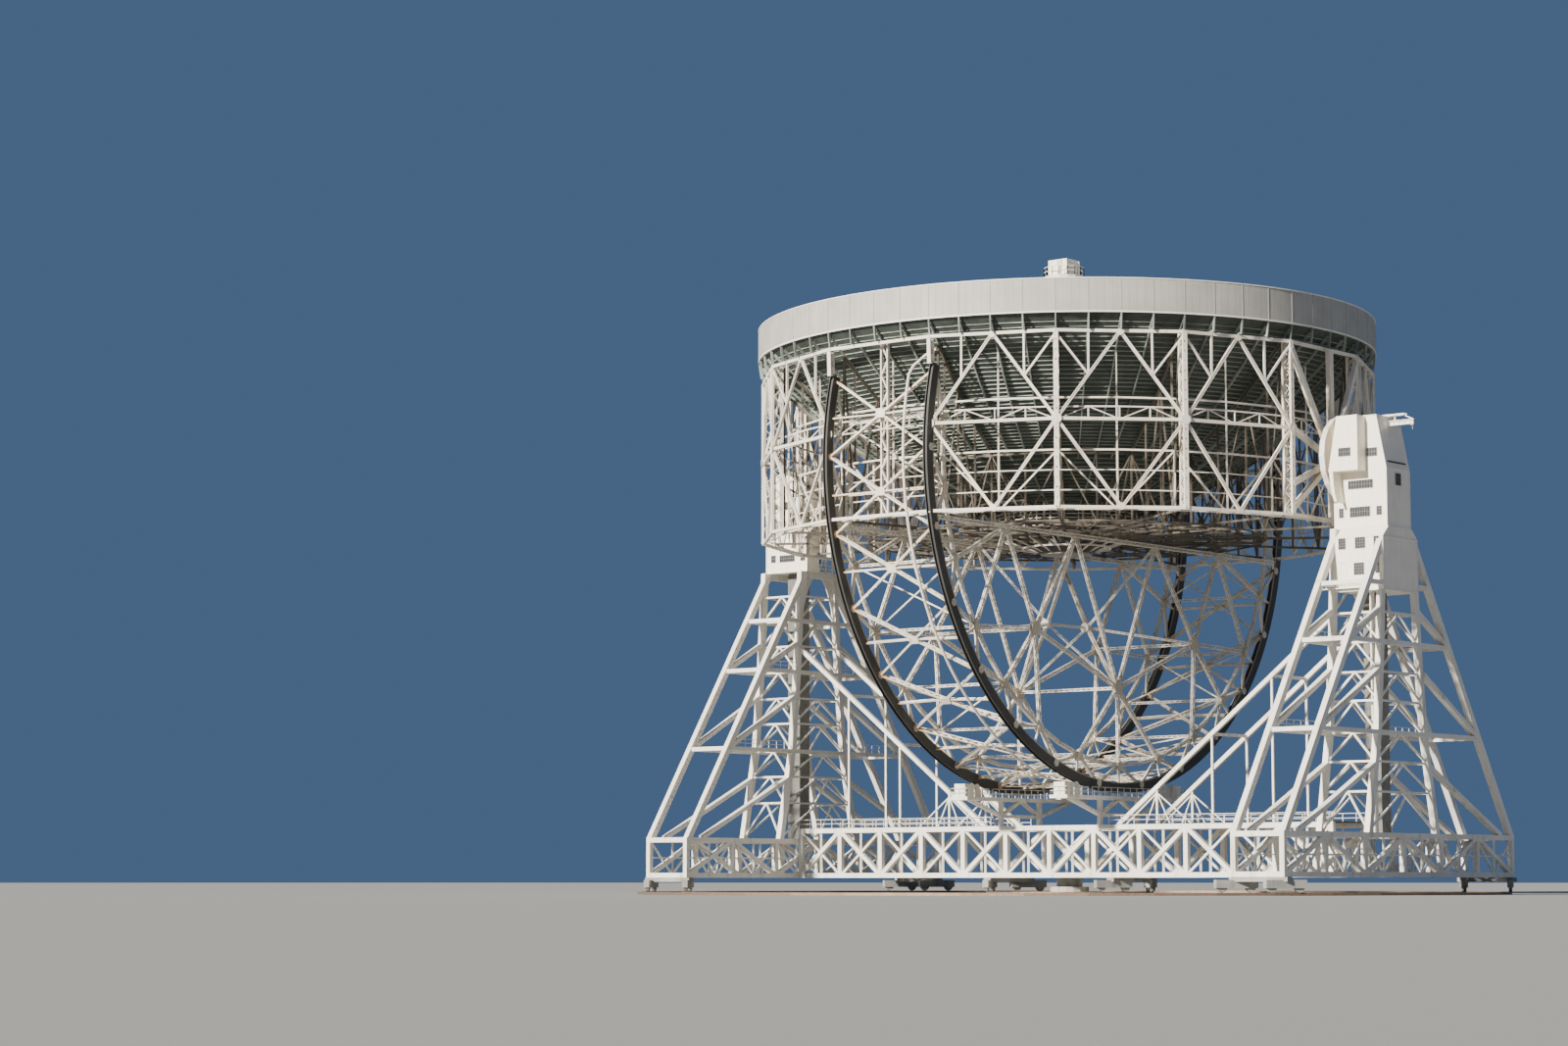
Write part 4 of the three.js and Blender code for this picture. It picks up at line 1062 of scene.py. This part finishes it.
def housingWindows():
    wall, skirt, block = tower["half"] + 0.02, tower["skirtHalf"] + 0.02, 4.52
    rows = [
        # x, distance from the centre line, z, width, height, columns, rows
        (42.23, block, 50.5, 1.54, 0.95, 5, 2), (44.71, wall, 50.5, 1.3, 0.95, 4, 2),
        (43.15, wall, 46.87, 3.2, 0.95, 9, 2), (43.02, wall, 43.7, 2.6, 1.13, 8, 2),
        (40.57, wall, 43.7, 0.55, 1.05, 2, 3), (45.52, wall, 43.7, 0.64, 1.0, 2, 3),
        (41.34, skirt, 40.0, 0.9, 1.25, 3, 4), (43.71, skirt, 40.0, 1.28, 1.25, 4, 4),
        (45.81, skirt, 40.0, 0.63, 1.25, 2, 4), (43.51, skirt, 37.03, 1.28, 1.35, 4, 4),
        (45.87, skirt, 37.1, 0.4, 1.35, 1, 4), (-45.33, wall, 43.77, 0.71, 0.91, 2, 2),
        (-42.97, wall, 43.72, 2.53, 0.85, 8, 2), (-40.3, wall, 43.7, 0.7, 0.8, 2, 2),
        (-41.34, block, 50.4, 0.97, 1.0, 3, 2), (-43.15, block, 50.35, 0.3, 0.65, 1, 2),
    ]
    panes, frames = [], []
    for x, distance, z, width, height, columns, count in rows:
        windowOn(panes, frames, point(x, -distance, z), east, -north, width, height, columns, count)
        if distance != block and x != -40.3:
            windowOn(panes, frames, point(x, distance, z), east, north, width, height, columns, count)
    for s in (-1, 1):
        face = point(s * (tower["outer"] + 0.02), 0, 47.4)
        windowOn(panes, frames, face, north, east * s, 1.12, 1.36, 3, 3)
        # Painted shadow: a thin dark bar along each outer wall just above the eaves, drawn with the pane
        # paint
        panes.append((point(s * 46.4, -2.0, 49.34), point(s * 46.4, 2.0, 49.34), 0.1, 0.16, up))
    finishPiece("window_panes_and_painted_shadow_line", panes, "turning_frame", darkPane)
    finishPiece("window_frames", frames, "turning_frame", paneBars)


housingWindows()


# Roof edges, corners, wall seams and a door, the left landing and the plates under the drive blocks
trim = {"skirtInner": 40.36, "skirtOuter": 46.62, "door": (41.08, 41.84, 36.2, 37.85)}
landing = {"near": 39.75, "far": 42.85, "front": 1.35, "back": 2.75, "top": 44.75}


def housingTrim():
    bars = []
    inner, bearing, outer, half = tower["inner"], tower["bearing"], tower["outer"], tower["half"]
    floor, eaves, roof = tower["floor"], tower["eaves"], tower["roof"]
    lean, seam, sill = outer - tower["lean"], floor + 3.05, floor + 0.12
    for s in (-1, 1):
        for y in (-half, half):
            bars.append(bar(point(s * bearing, y, roof), point(s * lean, y, roof), 0.12, 0.1))
            bars.append(bar(point(s * outer, y, eaves), point(s * lean, y, roof), 0.12, 0.12))
            bars.append(upright(s * outer, y, floor, eaves, 0.16))
            bars.append(bar(point(s * (inner + 0.5), y, eaves), point(s * outer, y, eaves), 0.05, 0.08))
            bars.append(bar(point(s * (inner + 0.4), y, seam), point(s * outer, y, seam), 0.05, 0.08))
            if s > 0 or y < 0:
                bars.append(bar(point(s * inner, y, sill), point(s * outer, y, sill), 0.1, 0.24))
        edges = ((outer, eaves, 0.08, 0.1), (lean, roof, 0.12, 0.1), (outer, sill, 0.1, 0.24))
        for x, z, width, depth in edges:
            bars.append(bar(point(s * x, -half, z), point(s * x, half, z), width, depth))
    edge, skirtInner, skirtOuter = tower["skirtHalf"], trim["skirtInner"], trim["skirtOuter"]
    low, high = tower["skirtBottom"], tower["skirtEaves"]
    for y in (-edge, edge):
        flare = math.copysign(half, y)
        for x in (skirtInner + 0.06, skirtOuter):
            bars.append(upright(x, y, low, high, 0.1))
            bars.append(bar(point(x, y, high), point(x, flare, floor - 0.03), 0.1, 0.1))
        for z, deep in ((low + 0.1, 0.24), (high, 0.08), (37.95, 0.06)):
            bars.append(bar(point(skirtInner + 0.02, y, z), point(skirtOuter, y, z), 0.08, deep))
    for z in (low + 0.1, high):
        bars.append(bar(point(skirtOuter, -edge, z), point(skirtOuter, edge, z), 0.08, 0.16))
    doorNear, doorFar, doorFoot, doorHead = trim["door"]
    face = -edge - 0.02
    for x in (doorNear, doorFar):
        bars.append(bar(point(x, face, doorFoot), point(x, face, doorHead), 0.07, 0.06, north))
    bars.append(bar(point(doorNear, face, doorHead), point(doorFar, face, doorHead), 0.06, 0.07))
    finishPiece("housing_trim", bars, "turning_frame", trimPaint)


def leftLanding():
    near, far, front, back = -landing["near"], -landing["far"], landing["front"], landing["back"]
    floor, top = tower["floor"], landing["top"]
    bars = [upright(x, y, floor, top + 0.1, 0.2) for x in (near, far) for y in (front, back)]
    for z in (floor + 0.5, floor + 1.05, top):
        bars.append(bar(point(near, 0, z), point(near, back, z), 0.1))
        bars.append(bar(point(near, back, z), point(far - 0.05, back, z), 0.1))
    bars.append(bar(point(near + 0.1, front, floor + 0.06), point(far - 0.1, front, floor + 0.06), 2.8, 0.1))
    bars.append(bar(point(near, 0, floor), point(near, front, top), 0.12))
    onFrame("left_landing", bars, towerPaint)


def driveFairings():
    outline = [(40.12, 48.33), (40.62, 48.33), (40.68, 47.0), (40.82, 45.9), (41.05, 44.9), (40.8, 44.8),
               (40.5, 45.6), (40.25, 46.9)]
    front, depth = -tower["half"] - 0.03, 1.85
    whole = bmesh.new()
    for s in (-1, 1):
        appendMesh(whole, prism([point(s * x, front, z) for x, z in outline], Vector((0, -depth, 0))))
    finishPiece("drive_fairings", whole, "turning_frame", claddingPaint)


housingTrim()
leftLanding()
driveFairings()


# Hoist beam that stands out from the right housing's roof
hoist = {
    "inner": 45.2, "outer": 48.8, "z": 53.95, "deep": 0.58, "flange": 0.1, "flangeWidth": 0.42,
    "trolley": 48.55, "railZ": 54.88, "railInner": 44.3, "railOuter": 47.7, "railY": 0.26,
}


def roofHoist():
    inner, outer, z, railZ = hoist["inner"], hoist["outer"], hoist["z"], hoist["railZ"]
    flange, deep, railY = hoist["flange"], hoist["deep"], hoist["railY"]
    bars = []
    for s in (-1, 1):
        level = z + s * (deep - flange) / 2
        bars.append(bar(point(inner, 0, level), point(outer, 0, level), hoist["flangeWidth"], flange))
    bars.append(bar(point(inner, 0, z), point(outer, 0, z), 0.1, deep - flange))
    bars += [upright(x, 0, z - 0.24, z + 0.24, 0.36, 0.05) for x in (46.2, 46.9, 47.6, 48.3)]
    for y in (-railY, railY):
        bars.append(bar(point(hoist["railInner"], y, railZ), point(hoist["railOuter"], y, railZ), 0.12, 0.2))
    for x in (44.5, 45.2, 46.2, 47.4):
        bars.append(bar(point(x, -railY, railZ - 0.04), point(x, railY, railZ - 0.04), 0.1, 0.1))
    bars.append(bar(point(47.5, 0, railZ - 0.1), point(outer - 0.1, 0, z + 0.25), 0.12))
    bars.append(upright(46.3, 0, z + 0.2, railZ, 0.14))
    onFrame("roof_hoist_beam", bars, towerPaint, ("roof_hoist",))
    x = hoist["trolley"]
    ends = [upright(x, 0, z - 0.42, z - 0.2, 0.3, 0.4), upright(x, 0, z - 0.9, z - 0.4, 0.06),
            upright(48.74, 0, z - 0.25, z + 0.25, 0.34, 0.1)]
    finishPiece("hoist_trolley", ends, "turning_frame", bogiePaint)


roofHoist()


def railing(bars, line, height=1.1, spacing=1.8, rail=0.06):
    # posts and two rails along a line of points
    for start, end in zip(line, line[1:]):
        count = max(1, round((end - start).length / spacing))
        for k in range(count + 1):
            foot = start.lerp(end, k / count)
            bars.append(bar(foot, foot + up * height, rail, rail, east))
        for share in (0.5, 1.0):
            bars.append(bar(start + up * height * share, end + up * height * share, rail))


# Railings of the wheel supports' decks and of the focus platform
decks = {"half": 1.25, "near": 8.2, "far": 12.55, "middle": 7.4, "focusRadius": 2.5, "focusZ": 76.42}


def galleries():
    bars = []
    near, far, middle, deck = decks["near"], decks["far"], decks["middle"], base["deck"]
    for s in (-1, 1):
        top = base["top"] + 0.02
        for y in (-base["girderY"] - 0.2, base["girderY"] + 0.2):
            railing(bars, [point(s * 8.8, y, top), point(s * 39.6, y, top)])
        sides = [s * wheel["plane"] + t * decks["half"] for t in (-1, 1)]
        for y0, y1 in ((-far, -near), (near, far), (-middle, middle)):
            for x in sides:
                railing(bars, [point(x, y0, deck), point(x, y1, deck)], 1.0, 1.3)
        for y in (-far, far):
            railing(bars, [point(x, y, deck) for x in sides], 1.0, 1.3)
    edge = [point(x, -tower["skirtHalf"] - 0.3, 34.9) for x in (38.4, 43.9)]
    bars.append(bar(edge[0] - up * 0.06, edge[1] - up * 0.06, 0.6, 0.1))
    railing(bars, edge, 0.8, 0.45)
    onFrame("turning_frame_railings", bars, towerPaint)
    bars = []
    circle = [polar(decks["focusRadius"], angle, decks["focusZ"]) for angle in evenAngles(16)]
    railing(bars, circle, 1.1, 1.2, 0.07)
    for k in range(8):
        angle = k * 45 + 10
        bars.append(bar(polar(2.4, angle, 76.0), polar(1.0, angle, 74.4), 0.14))
    bars.append(bar(point(1.5, 1.0, 76.4), point(1.5, 1.0, 78.4), 0.1))
    bars += laced(point(0.4, -1.55, 76.5), point(0.4, -1.55, 78.4), 0.5, 0.2, north, 0.05, 0.35, "w")
    onBowl("focus_railings", bars, steelPaint)


galleries()
print("housings and galleries made")


# Towers and base: secondary bracing
towerWork = {
    "levels": (38.6, 35.3, 32.0, 28.6, 25.2, 21.9, 18.3, 15.0, 11.6, tower["foot"] + 0.1), "tie": 0.24,
    "brace": 0.2, "walks": (28.6, 18.3), "pipes": (-4.1, -3.7, -3.4), "pipeX": 45.0,
    "arch": ((0.6, 0.0), (1.1, 0.55), (1.6, 1.25), (2.05, 2.1), (2.45, 3.1), (2.85, 4.2), (3.15, 5.2)),
}
baseWork = {
    "reach": 39.4, "bays": 24, "towerReach": 25.6, "towerBays": 12, "strutHead": (15.5, 12.0),
    "strutFeet": (11.0, 13.9, 17.3, 20.3), "strutY": 3.8,
}


def spread(reach, bays):
    # stations from -reach to reach
    return [reach * ((2 * k) / bays - 1) for k in range(bays + 1)]


def legAt(z):
    share = (tower["floor"] - z) / (tower["floor"] - tower["foot"])
    return tower["legTop"] + (tower["legFoot"] - tower["legTop"]) * share


def columnAt(z):
    for (upperY, upperZ), (lowerY, lowerZ) in zip(tower["columns"], tower["columns"][1:]):
        if z >= lowerZ:
            break
    return upperY + (lowerY - upperY) * (upperZ - z) / (upperZ - lowerZ)


def towerBracing():
    # level ties and upturned Vs between the four columns at every half level
    bars = []
    near, far = tower["planes"]
    levels, tie, brace = towerWork["levels"], towerWork["tie"], towerWork["brace"]
    for s in (-1, 1):
        middleX = s * (near + far) / 2
        for z, below in zip(levels, levels[1:]):
            half, lowHalf = columnAt(z), columnAt(below)
            planes = (near,) if s > 0 and z > tower["skirtBottom"] else (near, far)
            for x in planes:
                bars.append(bar(point(s * x, -half, z), point(s * x, half, z), tie))
                bars += [bar(point(s * x, 0, z), point(s * x, y, below), brace) for y in (-lowHalf, lowHalf)]
            if len(planes) == 1:
                continue
            for side in (-1, 1):
                bars.append(bar(point(s * near, side * half, z), point(s * far, side * half, z), tie))
                head = point(middleX, side * half, z)
                bars += [bar(head, point(s * x, side * lowHalf, below), brace) for x in (near, far)]
        for side in (-1, 1):
            for z in towerWork["walks"]:
                ends = (side * columnAt(z), side * (legAt(z) - 0.4))
                railing(bars, [point(s * near, y, z + 0.25) for y in ends], 1.0, 1.5)
    for y in towerWork["pipes"]:
        bars.append(upright(towerWork["pipeX"], y, tower["foot"], tower["skirtBottom"], 0.16))
    onFrame("tower_bracing", bars, towerPaint)


def gussetPortal():
    # curved plates between the inner columns' tops under each housing
    plates = bmesh.new()
    top = tower["floor"] - 0.5
    for s in (-1, 1):
        x = s * tower["planes"][0] - 0.05
        for side in (-1, 1):
            outline = [point(x, side * y, top - drop) for y, drop in towerWork["arch"]]
            outline += [point(x, side * (columnAt(top - drop) - 0.3), top - drop) for drop in (5.2, 0.0)]
            appendMesh(plates, prism(outline, Vector((0.1, 0, 0))))
    onFrame("portal_gussets", plates, towerPaint)


def baseBracing():
    bars = []
    top, bottom, side = base["top"] - 0.3, base["bottom"] + 0.3, base["girderY"]
    stops = spread(baseWork["reach"], baseWork["bays"])
    for k in range(baseWork["bays"]):
        a = stops[k]
        bars += [bar(point(a, y, bottom), point(a, y, top), 0.22) for y in (-side, side)]
        if k % 2 == 0:
            c = stops[k + 2]
            first, second = (top, bottom) if k % 4 == 0 else (bottom, top)
            bars += [bar(point(a, y, first), point(c, y, second), 0.26) for y in (-side, side)]
            for z in (top, bottom):
                bars += [bar(point(a, y, z), point(c, -y, z), 0.22) for y in (-side, side)]
    low = tower["foot"] - 0.3
    middle = (low + bottom) / 2
    near, far = tower["planes"]
    reach, (headX, headZ) = baseWork["towerReach"], baseWork["strutHead"]
    stops = spread(reach, baseWork["towerBays"])
    for s in (-1, 1):
        for k, (a, b) in enumerate(zip(stops, stops[1:])):
            first, second = (bottom, low) if k % 2 else (low, bottom)
            for x in (near, far):
                bars.append(bar(point(s * x, a, bottom), point(s * x, a, low), 0.22))
                bars.append(bar(point(s * x, a, first), point(s * x, b, second), 0.2))
            for z in (low, bottom):
                bars.append(bar(point(s * near, a, z), point(s * far, b, z), 0.18))
                bars.append(bar(point(s * far, a, z), point(s * near, b, z), 0.18))
        for x in (near, far):
            bars.append(bar(point(s * x, -reach, middle), point(s * x, reach, middle), 0.14))
        for y in (-baseWork["strutY"], baseWork["strutY"]):
            head = point(s * headX, y, headZ)
            bars += [bar(head, point(s * x, y, base["top"]), 0.14) for x in baseWork["strutFeet"]]
    onFrame("base_bracing", bars, towerPaint)
    deck = base["top"] + 0.02
    floor = [bar(point(s * 9, 0, deck), point(s * 39.6, 0, deck), 8.4, 0.1) for s in (-1, 1)]
    # the walkway deck is painted dark: painted shade under the telescope, with rust
    onFrame("girder_walkway", floor, lowerRustAndPaintedShade)


towerBracing()
gussetPortal()
baseBracing()
print("towers and base made")


# Floor, light and camera
studio = {"floorSize": 600, "sun": 12.5, "sunAngle": 4, "sunFrom": -98.6, "sunHeight": 24, "sky": 0.27}


def stageAndLight():
    bm = bmesh.new()
    bmesh.ops.create_grid(bm, x_segments=1, y_segments=1, size=studio["floorSize"])
    mesh = bpy.data.meshes.new("studio_floor")
    bm.to_mesh(mesh)
    bm.free()
    floor = bpy.data.objects.new("studio_floor", mesh)
    bpy.context.scene.collection.objects.link(floor)
    floor.location.z = -0.002
    material, tree, shader = newTree("studio floor")
    shader.inputs["Base Color"].default_value = colour(0.27, 0.27, 0.26)
    shader.inputs["Roughness"].default_value = 0.9
    mesh.materials.append(material)
    floor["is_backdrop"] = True
    key = bpy.data.objects.new("key_light", bpy.data.lights.new("key_light", "SUN"))
    key.data.energy = studio["sun"]
    key.data.angle = math.radians(studio["sunAngle"])
    key.data.color = (1.0, 0.93, 0.82)
    bpy.context.scene.collection.objects.link(key)
    towardsSun = polar(1, studio["sunFrom"], math.tan(math.radians(studio["sunHeight"])))
    key.rotation_euler = towardsSun.to_track_quat("Z", "Y").to_euler()
    world = bpy.data.worlds.new("studio")
    bpy.context.scene.world = world
    world.use_nodes = True
    backdrop = world.node_tree.nodes["Background"]
    backdrop.inputs["Color"].default_value = colour(0.25, 0.45, 0.85)
    backdrop.inputs["Strength"].default_value = studio["sky"]


def photoCamera():
    camera = bpy.data.objects.new("camera", bpy.data.cameras.new("camera"))
    camera.data.lens = 76.04
    camera.data.sensor_width = 36
    camera.data.clip_end = 2000
    camera.location = (23.627, -33.389, 0.145)
    camera.rotation_euler = (math.radians(96.187), 0, math.radians(40.186))
    bpy.context.scene.collection.objects.link(camera)
    bpy.context.scene.camera = camera


stageAndLight()
photoCamera()

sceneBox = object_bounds()
boxes = {"cad": [list(corner) for corner in cadBox], "visual": [list(corner) for corner in sceneBox]}
total = 0
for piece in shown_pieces():
    piece.data.calc_loop_triangles()
    total += len(piece.data.loop_triangles)
print("triangles in the scene:", total)
